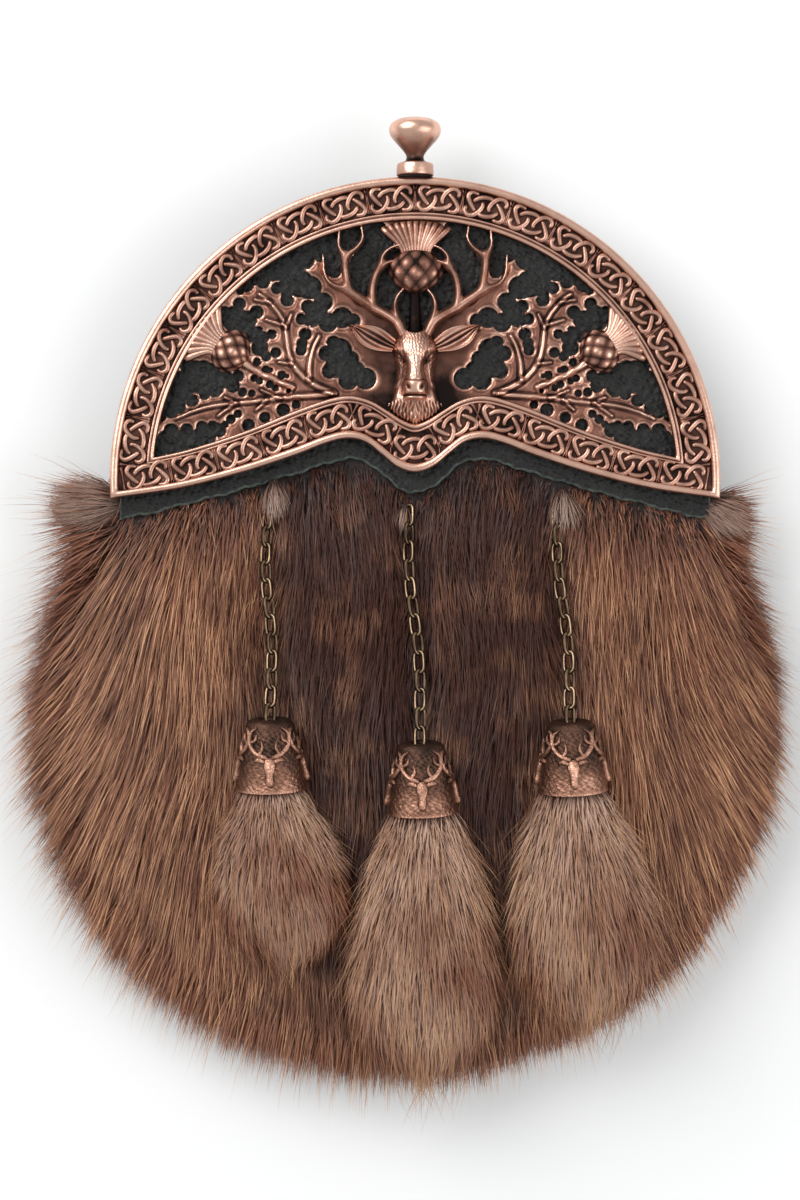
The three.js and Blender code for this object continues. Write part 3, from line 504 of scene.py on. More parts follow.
def pebbled_leather():
    """Chrome-tanned cowhide with a printed pebble grain: black, softly shining on the tops
    of the pebbles, with a grey-green raw edge where it is cut."""
    material, tree, shader, where = new_material("pebbled_leather")
    pebbles = add_node(
        tree, "ShaderNodeTexVoronoi", {"Vector": where, "Scale": per_mm(1.3)}, feature="SMOOTH_F1"
    )
    creases = add_node(tree, "ShaderNodeTexNoise", {"Vector": where, "Scale": per_mm(2.6), "Detail": 5})
    tone = add_node(tree, "ShaderNodeTexNoise", {"Vector": where, "Scale": per_mm(14), "Detail": 3})
    skin_tone = add_node(
        tree, "ShaderNodeMix", {0: tone.outputs["Fac"], 6: linear("#131211"), 7: linear("#222120")},
        data_type="RGBA"
    )
    cut = add_node(tree, "ShaderNodeAttribute", attribute_name="cut").outputs["Fac"]
    colour = add_node(
        tree, "ShaderNodeMix", {0: cut, 6: skin_tone.outputs[2], 7: linear("#4D5550")}, data_type="RGBA"
    )
    tree.links.new(colour.outputs[2], shader.inputs["Base Color"])
    height = add_node(
        tree, "ShaderNodeMath", {0: pebbles.outputs["Distance"], 1: creases.outputs["Fac"]},
        operation="ADD"
    )
    bump = add_node(
        tree, "ShaderNodeBump", {"Height": height.outputs[0], "Strength": 1, "Distance": 0.8 * MM}
    )
    bump.invert = True
    tree.links.new(bump.outputs["Normal"], shader.inputs["Normal"])
    shader.inputs["Roughness"].default_value = 0.55
    shader.inputs["Specular IOR Level"].default_value = 0.3
    return material


def fur_material(name, root, dark, light, tip, paling):
    """Dressed pelt: dark soft underfur at the root, deepened by painted shade under the hairs, brown along
    the hair, and paler guard hair ends.
    """
    material, tree, shader, where = new_material(name)
    along = add_node(tree, "ShaderNodeAttribute", attribute_name="along").outputs["Fac"]
    shade = add_node(tree, "ShaderNodeAttribute", attribute_name="shade").outputs["Fac"]
    tone = add_node(tree, "ShaderNodeAttribute", attribute_name="tone").outputs["Fac"]
    patches = add_node(tree, "ShaderNodeTexNoise", {"Vector": where, "Scale": per_mm(11), "Detail": 3})
    swing = add_node(tree, "ShaderNodeMath", {0: patches.outputs["Fac"], 1: 0.5}, operation="SUBTRACT")
    patchy = add_node(
        tree, "ShaderNodeMath", {0: swing.outputs[0], 1: 1.5, 2: tone}, operation="MULTIPLY_ADD"
    )
    patchy.use_clamp = True
    middle = add_node(
        tree, "ShaderNodeMix", {0: patchy.outputs[0], 6: linear(dark), 7: linear(light)}, data_type="RGBA"
    )
    paled = add_node(tree, "ShaderNodeMath", {0: shade, 1: paling}, operation="POWER")
    gilded = add_node(
        tree, "ShaderNodeMath", {0: paled.outputs[0], 1: patchy.outputs[0]}, operation="MULTIPLY"
    )
    guard = add_node(
        tree, "ShaderNodeMix", {0: gilded.outputs[0], 6: middle.outputs[2], 7: linear(tip)},
        data_type="RGBA"
    )
    lower = add_node(tree, "ShaderNodeMapRange", {"Value": along, "From Min": 0.05, "From Max": 0.5})
    upper = add_node(tree, "ShaderNodeMapRange", {"Value": along, "From Min": 0.35, "From Max": 0.9})
    # The root colour is the underfur's own dark with painted shade added, standing in for the shadow that
    # the hairs cast on one another near the hide.
    rooted = add_node(
        tree, "ShaderNodeMix", {0: lower.outputs[0], 6: linear(root), 7: middle.outputs[2]},
        data_type="RGBA"
    )
    tipped = add_node(
        tree, "ShaderNodeMix", {0: upper.outputs[0], 6: rooted.outputs[2], 7: guard.outputs[2]},
        data_type="RGBA"
    )
    tree.links.new(tipped.outputs[2], shader.inputs["Base Color"])
    shader.inputs["Roughness"].default_value = 0.5
    shader.inputs["Specular IOR Level"].default_value = 0.35
    return material


def waxed_thread():
    """Waxed linen thread: dull, dark and twisted."""
    material, tree, shader, where = new_material("waxed_thread")
    twist = add_node(
        tree, "ShaderNodeTexWave", {"Vector": where, "Scale": per_mm(0.5) / 6}, bands_direction="DIAGONAL"
    )
    colour = add_node(
        tree, "ShaderNodeMix", {0: twist.outputs["Fac"], 6: linear("#2B2A28"), 7: linear("#4A4743")},
        data_type="RGBA"
    )
    tree.links.new(colour.outputs[2], shader.inputs["Base Color"])
    shader.inputs["Roughness"].default_value = 0.7
    return material


def repeat_tree():
    """Geometry nodes: one piece at each point, turned by the point's own angles."""
    tree = bpy.data.node_groups.new("repeat_at_points", "GeometryNodeTree")
    tree.interface.new_socket("Points", in_out="INPUT", socket_type="NodeSocketGeometry")
    tree.interface.new_socket("Piece", in_out="INPUT", socket_type="NodeSocketObject")
    tree.interface.new_socket("Finish", in_out="INPUT", socket_type="NodeSocketMaterial")
    tree.interface.new_socket("Geometry", in_out="OUTPUT", socket_type="NodeSocketGeometry")
    start = add_node(tree, "NodeGroupInput")
    piece = add_node(tree, "GeometryNodeObjectInfo", {"Object": start.outputs["Piece"]})
    turn = add_node(tree, "GeometryNodeInputNamedAttribute", {"Name": "turn"}, data_type="FLOAT_VECTOR")
    angles = add_node(tree, "FunctionNodeEulerToRotation", {0: turn.outputs[0]})
    points = add_node(tree, "GeometryNodeMeshToPoints", {"Mesh": start.outputs["Points"]})
    copies = add_node(
        tree,
        "GeometryNodeInstanceOnPoints",
        {
            "Points": points.outputs[0], "Instance": piece.outputs["Geometry"],
            "Rotation": angles.outputs[0]
        },
    )
    real = add_node(tree, "GeometryNodeRealizeInstances", {0: copies.outputs[0]})
    clad = add_node(
        tree, "GeometryNodeSetMaterial", {"Geometry": real.outputs[0], "Material": start.outputs["Finish"]}
    )
    add_node(tree, "NodeGroupOutput", {0: clad.outputs[0]})
    return tree


def fur_tree():
    """Geometry nodes: strands scattered on a guide skin, laid along its flow, drawn into locks."""
    tree = bpy.data.node_groups.new("fur_strands", "GeometryNodeTree")
    tree.interface.new_socket("Guide", in_out="INPUT", socket_type="NodeSocketGeometry")
    tree.interface.new_socket("Strand", in_out="INPUT", socket_type="NodeSocketObject")
    tree.interface.new_socket("Finish", in_out="INPUT", socket_type="NodeSocketMaterial")
    for name in ("Density", "Width", "Lift", "Stray", "Lock Size", "Lock Pull"):
        tree.interface.new_socket(name, in_out="INPUT", socket_type="NodeSocketFloat")
    tree.interface.new_socket("Seed", in_out="INPUT", socket_type="NodeSocketInt")
    tree.interface.new_socket("Geometry", in_out="OUTPUT", socket_type="NodeSocketGeometry")
    given = add_node(tree, "NodeGroupInput").outputs
    points = add_node(
        tree,
        "GeometryNodeDistributePointsOnFaces",
        {"Mesh": given["Guide"], "Density": given["Density"], "Seed": given["Seed"]},
    )
    flow = add_node(tree, "GeometryNodeInputNamedAttribute", {"Name": "flow"}, data_type="FLOAT_VECTOR")
    reach = add_node(tree, "GeometryNodeInputNamedAttribute", {"Name": "reach"}, data_type="FLOAT")
    here = add_node(tree, "GeometryNodeInputPosition")
    scatter = add_node(
        tree, "FunctionNodeRandomValue", {0: (-1, -1, -1), 1: (1, 1, 1), "Seed": given["Seed"]},
        data_type="FLOAT_VECTOR"
    )
    wander = add_node(
        tree, "ShaderNodeVectorMath", {0: scatter.outputs[0], "Scale": given["Stray"]}, operation="SCALE"
    )
    raised = add_node(
        tree, "ShaderNodeVectorMath", {0: points.outputs["Normal"], "Scale": given["Lift"]},
        operation="SCALE"
    )
    leaning = add_node(
        tree, "ShaderNodeVectorMath", {0: flow.outputs[0], 1: raised.outputs[0]}, operation="ADD"
    )
    way = add_node(
        tree, "ShaderNodeVectorMath", {0: leaning.outputs[0], 1: wander.outputs[0]}, operation="ADD"
    )
    laid = add_node(tree, "FunctionNodeAlignRotationToVector", {"Vector": way.outputs[0]}, axis="Y")
    roll = add_node(tree, "ShaderNodeVectorMath", {0: scatter.outputs[0], "Scale": 0.8}, operation="SCALE")
    face = add_node(
        tree, "ShaderNodeVectorMath", {0: points.outputs["Normal"], 1: roll.outputs[0]}, operation="ADD"
    )
    turned = add_node(
        tree,
        "FunctionNodeAlignRotationToVector",
        {"Rotation": laid.outputs[0], "Vector": face.outputs[0]},
        axis="Z",
        pivot_axis="Y",
    )
    shade = add_node(
        tree, "FunctionNodeRandomValue", {2: 0.0, 3: 1.0, "Seed": given["Seed"]}, data_type="FLOAT"
    )
    shaded = add_node(
        tree,
        "GeometryNodeStoreNamedAttribute",
        {"Geometry": points.outputs["Points"], "Name": "shade", "Value": shade.outputs[1]},
        data_type="FLOAT",
        domain="POINT",
    )
    cells = add_node(
        tree, "ShaderNodeTexVoronoi", {"Vector": here.outputs[0], "Scale": given["Lock Size"]}
    )
    inward = add_node(
        tree, "ShaderNodeVectorMath", {0: cells.outputs["Position"], 1: here.outputs[0]},
        operation="SUBTRACT"
    )
    locked = add_node(
        tree,
        "GeometryNodeStoreNamedAttribute",
        {"Geometry": shaded.outputs[0], "Name": "inward", "Value": inward.outputs[0]},
        data_type="FLOAT_VECTOR",
        domain="POINT",
    )
    longer = add_node(tree, "FunctionNodeRandomValue", {2: 0.65, 3: 1.12, "Seed": 7}, data_type="FLOAT")
    length = add_node(
        tree, "ShaderNodeMath", {0: reach.outputs[0], 1: longer.outputs[1]}, operation="MULTIPLY"
    )
    size = add_node(
        tree, "ShaderNodeCombineXYZ", {0: given["Width"], 1: length.outputs[0], 2: length.outputs[0]}
    )
    strand = add_node(tree, "GeometryNodeObjectInfo", {"Object": given["Strand"]})
    copies = add_node(
        tree,
        "GeometryNodeInstanceOnPoints",
        {
            "Points": locked.outputs[0],
            "Instance": strand.outputs["Geometry"],
            "Rotation": turned.outputs[0],
            "Scale": size.outputs[0],
        },
    )
    real = add_node(tree, "GeometryNodeRealizeInstances", {0: copies.outputs[0]})
    along = add_node(tree, "GeometryNodeInputNamedAttribute", {"Name": "along"}, data_type="FLOAT")
    drawn = add_node(tree, "GeometryNodeInputNamedAttribute", {"Name": "inward"}, data_type="FLOAT_VECTOR")
    eased = add_node(tree, "ShaderNodeMath", {0: along.outputs[0], 1: 1.4}, operation="POWER")
    pull = add_node(
        tree, "ShaderNodeMath", {0: eased.outputs[0], 1: given["Lock Pull"]}, operation="MULTIPLY"
    )
    shift = add_node(
        tree, "ShaderNodeVectorMath", {0: drawn.outputs[0], "Scale": pull.outputs[0]}, operation="SCALE"
    )
    moved = add_node(
        tree, "GeometryNodeSetPosition", {"Geometry": real.outputs[0], "Offset": shift.outputs[0]}
    )
    parts = add_node(tree, "ShaderNodeSeparateXYZ", {0: here.outputs[0]})
    resting = add_node(tree, "ShaderNodeMath", {0: parts.outputs[2], 1: 0.3 * MM}, operation="MAXIMUM")
    place = add_node(
        tree, "ShaderNodeCombineXYZ", {0: parts.outputs[0], 1: parts.outputs[1], 2: resting.outputs[0]}
    )
    rested = add_node(
        tree, "GeometryNodeSetPosition", {"Geometry": moved.outputs[0], "Position": place.outputs[0]}
    )
    bare = add_node(tree, "GeometryNodeRemoveAttribute", {"Geometry": rested.outputs[0], "Name": "inward"})
    clad = add_node(
        tree, "GeometryNodeSetMaterial", {"Geometry": bare.outputs[0], "Material": given["Finish"]}
    )
    add_node(tree, "NodeGroupOutput", {0: clad.outputs[0]})
    return tree


def run_tree(mesh, tree, **inputs):
    """The mesh that a tree makes from a carrier mesh; the carrier and its modifier are removed."""
    carrier = bpy.data.objects.new("carrier", mesh)
    bpy.context.scene.collection.objects.link(carrier)
    modifier = carrier.modifiers.new(tree.name, "NODES")
    modifier.node_group = tree
    for item in tree.interface.items_tree:
        if item.in_out == "INPUT" and item.name in inputs:
            modifier[item.identifier] = inputs[item.name]
    result = bpy.data.meshes.new_from_object(carrier.evaluated_get(bpy.context.evaluated_depsgraph_get()))
    carrier.modifiers.remove(modifier)
    bpy.data.objects.remove(carrier)
    return result


def pattern_object(name, mesh):
    """An unlinked object that only lends its mesh to a tree."""
    return bpy.data.objects.new(name, mesh)


REPEAT = repeat_tree()
FUR = fur_tree()


def repeat(name, pattern, places, turns, material):
    """Copies of a pattern mesh at places in millimetres, each turned by its own Euler angles."""
    carrier = bpy.data.meshes.new(name + "_places")
    carrier.from_pydata((np.asarray(places) * MM).tolist(), [], [])
    layer = carrier.attributes.new("turn", "FLOAT_VECTOR", "POINT")
    layer.data.foreach_set("vector", np.asarray(turns, np.float32).ravel())
    lender = pattern_object(name + "_pattern", pattern)
    mesh = run_tree(carrier, REPEAT, Piece=lender, Finish=material)
    bpy.data.objects.remove(lender)
    mesh.shade_smooth()
    return mesh


# Finishes
COPPER = antique_metal("antiqued_copper_plate", "#231C1B", "#8C6152", "#EEC0AA", 0.5, 0.15)
CAP_COPPER = antique_metal("antiqued_copper_hammered", "#262220", "#86604F", "#E2AE94", 0.6, 0.8)
CHAIN_BRASS = antique_metal("antiqued_brass_wire", "#14100D", "#41352A", "#C4A684", 0.5, 0.15)
LEATHER = pebbled_leather()
THREAD = waxed_thread()
# Each fur's root colour, the second one given, is its dark underfur deepened by painted shade.
UNDERFUR = fur_material("brown_underfur", "#180E0B", "#44271F", "#7F4E3A", "#A57358", 2)
GUARD_HAIR = fur_material("brown_guard_hair", "#21140F", "#4C2A1F", "#966044", "#F0BA8C", 0.6)
PALE_FUR = fur_material("pale_fur_tufts", "#3A261E", "#7E5845", "#A4877A", "#CDB4A6", 1.2)
TASSEL_FUR = fur_material("tassel_fur", "#553628", "#8C5B45", "#BA9784", "#DDB08A", 1.3)
TASSEL_HAIR = fur_material("tassel_guard_hair", "#3A251C", "#8A5A40", "#B0805C", "#E6B888", 0.6)



# Pouch
def pouch_outline(inset, steps=40):
    """The pouch from above: a round arch, eased sides and a half ellipse below."""
    arch = BACK_ARCH_R - inset
    wide = POUCH_HALF_WIDTH - inset
    low = POUCH_DEPTH_BELOW - inset
    turn = np.linspace(0, np.pi, 2 * steps, endpoint=False)
    t = np.linspace(0, 1, steps, endpoint=False)[:, None]
    corners = np.array(
        [
            (-arch, ARCH_Y), (-arch, ARCH_Y - POUCH_EASE), (-wide, POUCH_WIDEST_Y + POUCH_EASE),
            (-wide, POUCH_WIDEST_Y)
        ]
    )
    a, b, c, d = corners
    side = a * (1 - t) ** 3 + 3 * b * t * (1 - t) ** 2 + 3 * c * t**2 * (1 - t) + d * t**3
    top = np.stack([np.cos(turn) * arch, ARCH_Y + np.sin(turn) * arch], axis=1)
    bottom = np.stack([-np.cos(turn) * wide, POUCH_WIDEST_Y - np.sin(turn) * low], axis=1)
    other = (side * (-1, 1))[::-1]
    return np.vstack([top, side, bottom, np.vstack([[[wide, POUCH_WIDEST_Y]], other[:-1]])])


def inset_outline(outline, distance):
    """A closed outline moved in by a small distance."""
    ahead = np.roll(outline, -1, axis=0) - np.roll(outline, 1, axis=0)
    ahead /= np.linalg.norm(ahead, axis=1)[:, None]
    return outline + np.stack([-ahead[:, 1], ahead[:, 0]], axis=1) * distance


def plate(outline, low, high, bevel):
    """A flat plate with its upper edge bevelled; the bevel and the sides are its cut edge."""
    inner = inset_outline(outline, bevel)
    rings = [
        np.column_stack([outline, np.full(len(outline), low)]),
        np.column_stack([outline, np.full(len(outline), high - bevel)]),
        np.column_stack([inner, np.full(len(outline), high)]),
    ]
    points, faces = skin(rings)
    mesh = solid_mesh("plate", points, faces)
    mesh.shade_flat()
    cut = np.ones(len(mesh.polygons), np.float32)
    cut[-2:] = 0
    mesh.attributes.new("cut", "FLOAT", "FACE").data.foreach_set("value", cut)
    return mesh


def lower_edge(key, drop=0, count=160):
    """The cantle's lower edge from left to right."""
    right = np.array([row[key] for row in LOWER_EDGE]) - (0, drop)
    both = np.vstack([(right * (-1, 1))[:0:-1], right])
    return spline(both, count)


def arch(radius, first, last, count):
    turn = np.linspace(first, last, count)
    return np.stack([np.cos(turn) * radius, ARCH_Y + np.sin(turn) * radius], axis=1)


def pierced_plate(outline, holes, low, high):
    """A flat plate with holes through it."""
    edit = bmesh.new()
    for loop in (outline, *holes):
        corners = [edit.verts.new((x * MM, y * MM, low * MM)) for x, y in loop]
        for a, b in zip(corners, corners[1:] + corners[:1]):
            edit.edges.new((a, b))
    bmesh.ops.triangle_fill(edit, use_beauty=True, edges=edit.edges[:], normal=(0, 0, 1))
    raised = bmesh.ops.extrude_face_region(edit, geom=edit.faces[:], use_keep_orig=True)["geom"]
    for corner in raised:
        if isinstance(corner, bmesh.types.BMVert):
            corner.co.z = high * MM
    bmesh.ops.recalc_face_normals(edit, faces=edit.faces)
    mesh = bpy.data.meshes.new("pierced_plate")
    edit.to_mesh(mesh)
    edit.free()
    return mesh


def make_back():
    """Back panel with its strap slots, the side wall, and the stitches round the back and the slots."""
    slots = []
    for side in (-1, 1):
        x, y = side * STRAP_SLOT["x"], STRAP_SLOT["y"]
        half_x, half_y = STRAP_SLOT["width"] / 2, STRAP_SLOT["height"] / 2
        slots.append(spaced([(x - half_x, y - half_y), (x + half_x, y - half_y), (x + half_x, y + half_y),
                             (x - half_x, y + half_y), (x - half_x, y - half_y)], 41)[:-1])
    panel = pierced_plate(pouch_outline(0), slots, 0, BACK_TOP)
    place_piece("back_leather", panel, LEATHER, "black_leather", "back_panel")

    outer, inner = pouch_outline(GUSSET_INSET), pouch_outline(GUSSET_INSET + LEATHER_THICK)
    mouth = (np.abs(outer[:, 0]) < MOUTH_HALF_WIDTH) & (outer[:, 1] > MOUTH_BASE_Y)
    first = np.nonzero(mouth)[0].max() + 1
    order = [i % len(outer) for i in range(first, first + len(outer)) if not mouth[i % len(outer)]]
    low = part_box("gusset")[0][2] / MM
    rings = []
    for i in order:
        high = 17 + 2.4 * smoothstep(41, 43, outer[i][1])
        rings.append([(*outer[i], low), (*outer[i], high), (*inner[i], high), (*inner[i], low)])
    wall = solid_mesh("gusset_wall", *skin(rings))
    wall.shade_flat()
    place_piece("gusset_leather", wall, LEATHER, "black_leather", "gusset")

    stitch = sweep(
        [(x, 0, z) for x, z in ((-0.5, -0.3), (-0.35, 0.12), (0, 0.22), (0.35, 0.12), (0.5, -0.3))],
        1,
        0.6,
        6,
    )
    points = stitch[0] * (STITCH["length"], STITCH["thick"] / 2, STITCH["thick"])
    pattern = solid_mesh("stitch", points, stitch[1])
    seam = inset_outline(pouch_outline(0), STITCH["inset"])
    seam = np.vstack([seam, seam[:1]])
    length = np.linalg.norm(np.diff(seam, axis=0), axis=1).sum()
    walks = [spaced(seam, int(length / STITCH["pitch"]) + 1)]
    for side in (-1, 1):
        x, y = side * STRAP_SLOT["x"], STRAP_SLOT["y"]
        half_x, half_y = STRAP_SLOT["width"] / 2 + 2.5, STRAP_SLOT["height"] / 2 + 2.5
        box = [
            (x - half_x, y - half_y), (x + half_x, y - half_y), (x + half_x, y + half_y),
            (x - half_x, y + half_y)
        ]
        walks.append(spaced(box + box[:1], int(4 * (half_x + half_y) / STITCH["pitch"])))
    places, turns = [], []
    for walk in walks:
        middle = (walk[1:] + walk[:-1]) / 2
        way = np.diff(walk, axis=0)
        places.append(np.column_stack([middle, np.full(len(middle), STITCH["sunk"])]))
        turns.append(np.column_stack([np.full(len(way), np.pi), np.zeros(len(way)),
                                      np.arctan2(way[:, 1], way[:, 0])]))
    mesh = repeat("back_stitches", pattern, np.vstack(places), np.vstack(turns), THREAD)
    place_piece("back_stitches", mesh, THREAD, "black_leather")


def facing_edge():
    """Lower edge of the leather facing: cut a little unevenly, narrower between the middle and the ends."""
    low = lower_edge("outer", FACING_DROP, 320) * (FACING_ARCH_R / CANTLE_R, 1)
    away = np.abs(low[:, 0])
    low[:, 1] += 1.2 * smoothstep(14, 40, away) * (1 - smoothstep(55, 70, away))
    low[:, 1] += 0.22 * np.sin(0.7 * low[:, 0]) + 0.14 * np.sin(1.9 * low[:, 0] + 1)
    return low


def make_facing():
    low = facing_edge()
    outline = np.vstack([low, arch(FACING_ARCH_R, 0, np.pi, 160)])
    place_piece(
        "facing_leather", plate(outline, FACING_Z, FACING_TOP, 0.55), LEATHER, "black_leather",
        "leather_facing"
    )


# Cantle
def cantle_loops(count=200):
    """The casting's edge and the field's edge, point for point, once round."""
    loops = []
    for key, radius in (("outer", CANTLE_R), ("inner", FIELD_R)):
        low = lower_edge(key, 0, count)
        start = math.atan2(low[-1][1] - ARCH_Y, low[-1][0])
        loops.append(np.vstack([low, arch(radius, start, np.pi - start, count)[1:-1]]))
    return loops


def make_border():
    outer, inner = cantle_loops()
    rings = np.stack(
        [
            np.column_stack([outer + (inner - outer) * share, np.full(len(outer), CANTLE_Z + height)])
            for share, height, _ in BORDER_SECTION
        ],
        axis=1,
    )
    points, faces = skin(rings, loop=True)
    rub_and_painted_light = np.tile([row[2] for row in BORDER_SECTION], len(outer))
    place_piece(
        "cantle_border", solid_mesh("cantle_border", points, faces, rub_and_painted_light), COPPER, "antique_copper",
        "cantle"
    )


def make_knots():
    strands = []
    for route in KNOT_STRANDS:
        for turn in (1, -1):
            path = spline(np.array(route) * turn, 14)
            taper = 0.75 + 0.25 * np.sin(np.linspace(0.25, np.pi - 0.25, 14))
            path = np.column_stack([path, np.full(14, 0.1) + 0.12 * np.sin(np.linspace(0, np.pi, 14))])
            points, faces = sweep(path, STRAND["half_width"] * taper, STRAND["rise"] * 0.8 * taper, 8)
            strands.append((points, faces, 0.32 + 0.42 * smoothstep(0.1, 0.8, points[:, 2])))
    for end in (-1, 1):
        rib = [(end * 6.1, v, 0.05) for v in np.linspace(-3.1, 3.1, 7)]
        points, faces = sweep(rib, [0.75, 0.4, 0.22, 0.2, 0.22, 0.4, 0.75], 0.55, 6)
        strands.append((points, faces, 0.55))
    pattern = solid_mesh("knot", *gather(strands))
    outer, inner = cantle_loops()
    middle = (outer + inner) / 2
    low = middle[:200]
    before, after = low[0] - low[1], low[-1] - low[-2]
    reach = KNOT_OVERRUN / np.linalg.norm(before)
    low = spaced(np.vstack([low[0] + before * reach, low, low[-1] + after * reach]), 2 * LOWER_KNOTS + 1)
    radius = (CANTLE_R + FIELD_R) / 2
    over = arch(radius, 0.06, np.pi - 0.06, 2 * ARCH_KNOTS + 1)
    places, turns = [], []
    for walk, flip in ((low, 0), (over, np.pi)):
        for before, here, after in zip(walk[0::2], walk[1::2], walk[2::2]):
            way = after - before
            places.append((*here, CANTLE_Z + 1.9))
            turns.append((0, 0, math.atan2(way[1], way[0]) + flip))
    mesh = repeat("cantle_knots", pattern, places, turns, COPPER)
    place_piece("cantle_knots", mesh, COPPER, "antique_copper")


def hole_distance(x, y):
    """Distance of a point outside the nearest hole of the field; the antlers' rounds melt together."""
    leaves = np.full(x.shape, 99.0)
    melted = np.zeros(x.shape)
    for name, group in FIELD_HOLES.items():
        for cx, cy, radius in group:
            away = np.hypot(x - cx, y - cy) - radius
            if name in ANTLER_HOLES:
                melted += np.exp(np.clip(-away / HOLE_MELT, -60, 60))
            else:
                leaves = np.minimum(leaves, away)
    return np.minimum(leaves + LEAF_MARGIN, -HOLE_MELT * np.log(melted + 1e-30))


def limb_distance(x, y, route, root, tip, samples=16):
    """How far inside a tapering limb a point is, and its distance from the limb's line."""
    path = spline(route, samples)
    half = np.linspace(root, tip, samples)
    inside = np.full(x.shape, -99.0)
    for a, b, half_a, half_b in zip(path[:-1], path[1:], half[:-1], half[1:]):
        way = b - a
        share = np.clip(((x - a[0]) * way[0] + (y - a[1]) * way[1]) / way.dot(way), 0, 1)
        away = np.hypot(x - a[0] - way[0] * share, y - a[1] - way[1] * share)
        inside = np.maximum(inside, half_a + (half_b - half_a) * share - away)
    return inside


def relief(grid_x, grid_y, inside, height, rub_and_painted_light, base):
    """A raised shape on a grid: cells inside the outline, with the rim drawn onto it, closed underneath."""
    rows, columns = grid_x.shape
    step = grid_x[0, 1] - grid_x[0, 0]
    gy, gx = np.gradient(inside, step)
    steep = np.maximum(np.hypot(gx, gy), 0.2)
    close = np.abs(inside) < 0.75 * step
    px = np.where(close, grid_x - gx / steep**2 * inside, grid_x)
    py = np.where(close, grid_y - gy / steep**2 * inside, grid_y)
    held = (inside > 0) | close
    cell = held[:-1, :-1] & held[1:, :-1] & held[:-1, 1:] & held[1:, 1:]
    index = np.arange(rows * columns).reshape(rows, columns)
    quads = np.stack([index[:-1, :-1], index[:-1, 1:], index[1:, 1:], index[1:, :-1]], axis=-1)[cell]
    used, quads = np.unique(quads, return_inverse=True)
    quads = quads.reshape(-1, 4)
    top = np.column_stack([px.ravel()[used], py.ravel()[used], height.ravel()[used]])
    count = len(top)
    sides = np.concatenate([quads[:, [k, (k + 1) % 4]] for k in range(4)])
    key = np.sort(sides, axis=1)
    _, first, uses = np.unique(key, axis=0, return_index=True, return_counts=True)
    rim = sides[first[uses == 1]]
    walls = np.column_stack([rim[:, 1], rim[:, 0], rim[:, 0] + count, rim[:, 1] + count])
    points = np.vstack([top, top * (1, 1, 0) + (0, 0, base)])
    faces = np.vstack([quads, quads[:, ::-1] + count, walls]).tolist()
    tone = np.concatenate([rub_and_painted_light.ravel()[used], np.zeros(count)])
    return points, faces, tone


def make_field():
    """The pierced plate: leaves with rounded edges and raised veins, and the dark ground round the head."""
    x, y = np.meshgrid(np.arange(-67, 0.01, FIELD_STEP), np.arange(36, 97, FIELD_STEP))
    low = lower_edge("inner")
    edge = np.minimum(
        FIELD_R + 0.7 - np.hypot(x, y - ARCH_Y), y - np.interp(x, low[:, 0], low[:, 1]) + 0.7
    )
    holes = hole_distance(x, y) - smoothstep(2.8, 0.9, edge) * smoothstep(74, 82, y)
    inside = np.minimum(edge, holes)
    ground = 1 - smoothstep(8, 17, -x)
    height = 1 + 0.75 * smoothstep(0, 1.3, holes) - 0.5 * ground * smoothstep(0, 1, holes)
    rub_and_painted_light = 0.54 + 0.42 * np.exp(-(((holes - 0.2) / 0.3) ** 2)) - 0.32 * ground * smoothstep(0.2, 1.2, holes)
    rub_and_painted_light -= 0.2 * smoothstep(60, 48, y) * smoothstep(-30, -18, x)
    for row in VEINS:
        depth = limb_distance(x, y, **row)
        ridge = smoothstep(-0.25, 0.3, depth)
        groove = np.exp(-(((depth + 0.45) / 0.28) ** 2))
        height = height + 0.6 * ridge - 0.3 * groove * (holes > 0.3)
        rub_and_painted_light = rub_and_painted_light + 0.45 * ridge - 0.5 * groove
    left = relief(x, y, inside, CANTLE_Z + height, np.clip(rub_and_painted_light, 0, 1), CANTLE_Z + 0.1)
    for name, half in (("left", left), ("right", mirrored(left))):
        mesh = solid_mesh("cantle_field_" + name, *half, outward=False)
        place_piece("cantle_field_" + name, mesh, COPPER, "antique_copper")


def make_antlers():
    x, y = np.meshgrid(np.arange(-25, 0, ANTLER_STEP), np.arange(64, 95, ANTLER_STEP))
    total = sum(np.exp(np.clip(limb_distance(x, y, **row) / 0.3, -60, 60)) for row in ANTLERS)
    inside = 0.3 * np.log(total + 1e-30)
    share = np.clip(inside / 1.25, 0, 1)
    crown = np.sqrt(1 - (1 - share) ** 2)
    height = CANTLE_Z + 1.2 + (ANTLER_RISE + 1.4 * smoothstep(75, 67, y)) * crown
    rub_and_painted_light = 0.55 + 0.4 * np.exp(-(((inside - 0.25) / 0.25) ** 2)) + 0.1 * crown
    left = relief(x, y, inside, height, np.clip(rub_and_painted_light, 0, 1), CANTLE_Z + 0.2)
    mesh = solid_mesh("stag_antlers", *gather([left, mirrored(left)]), outward=False)
    place_piece("stag_antlers", mesh, COPPER, "antique_copper")


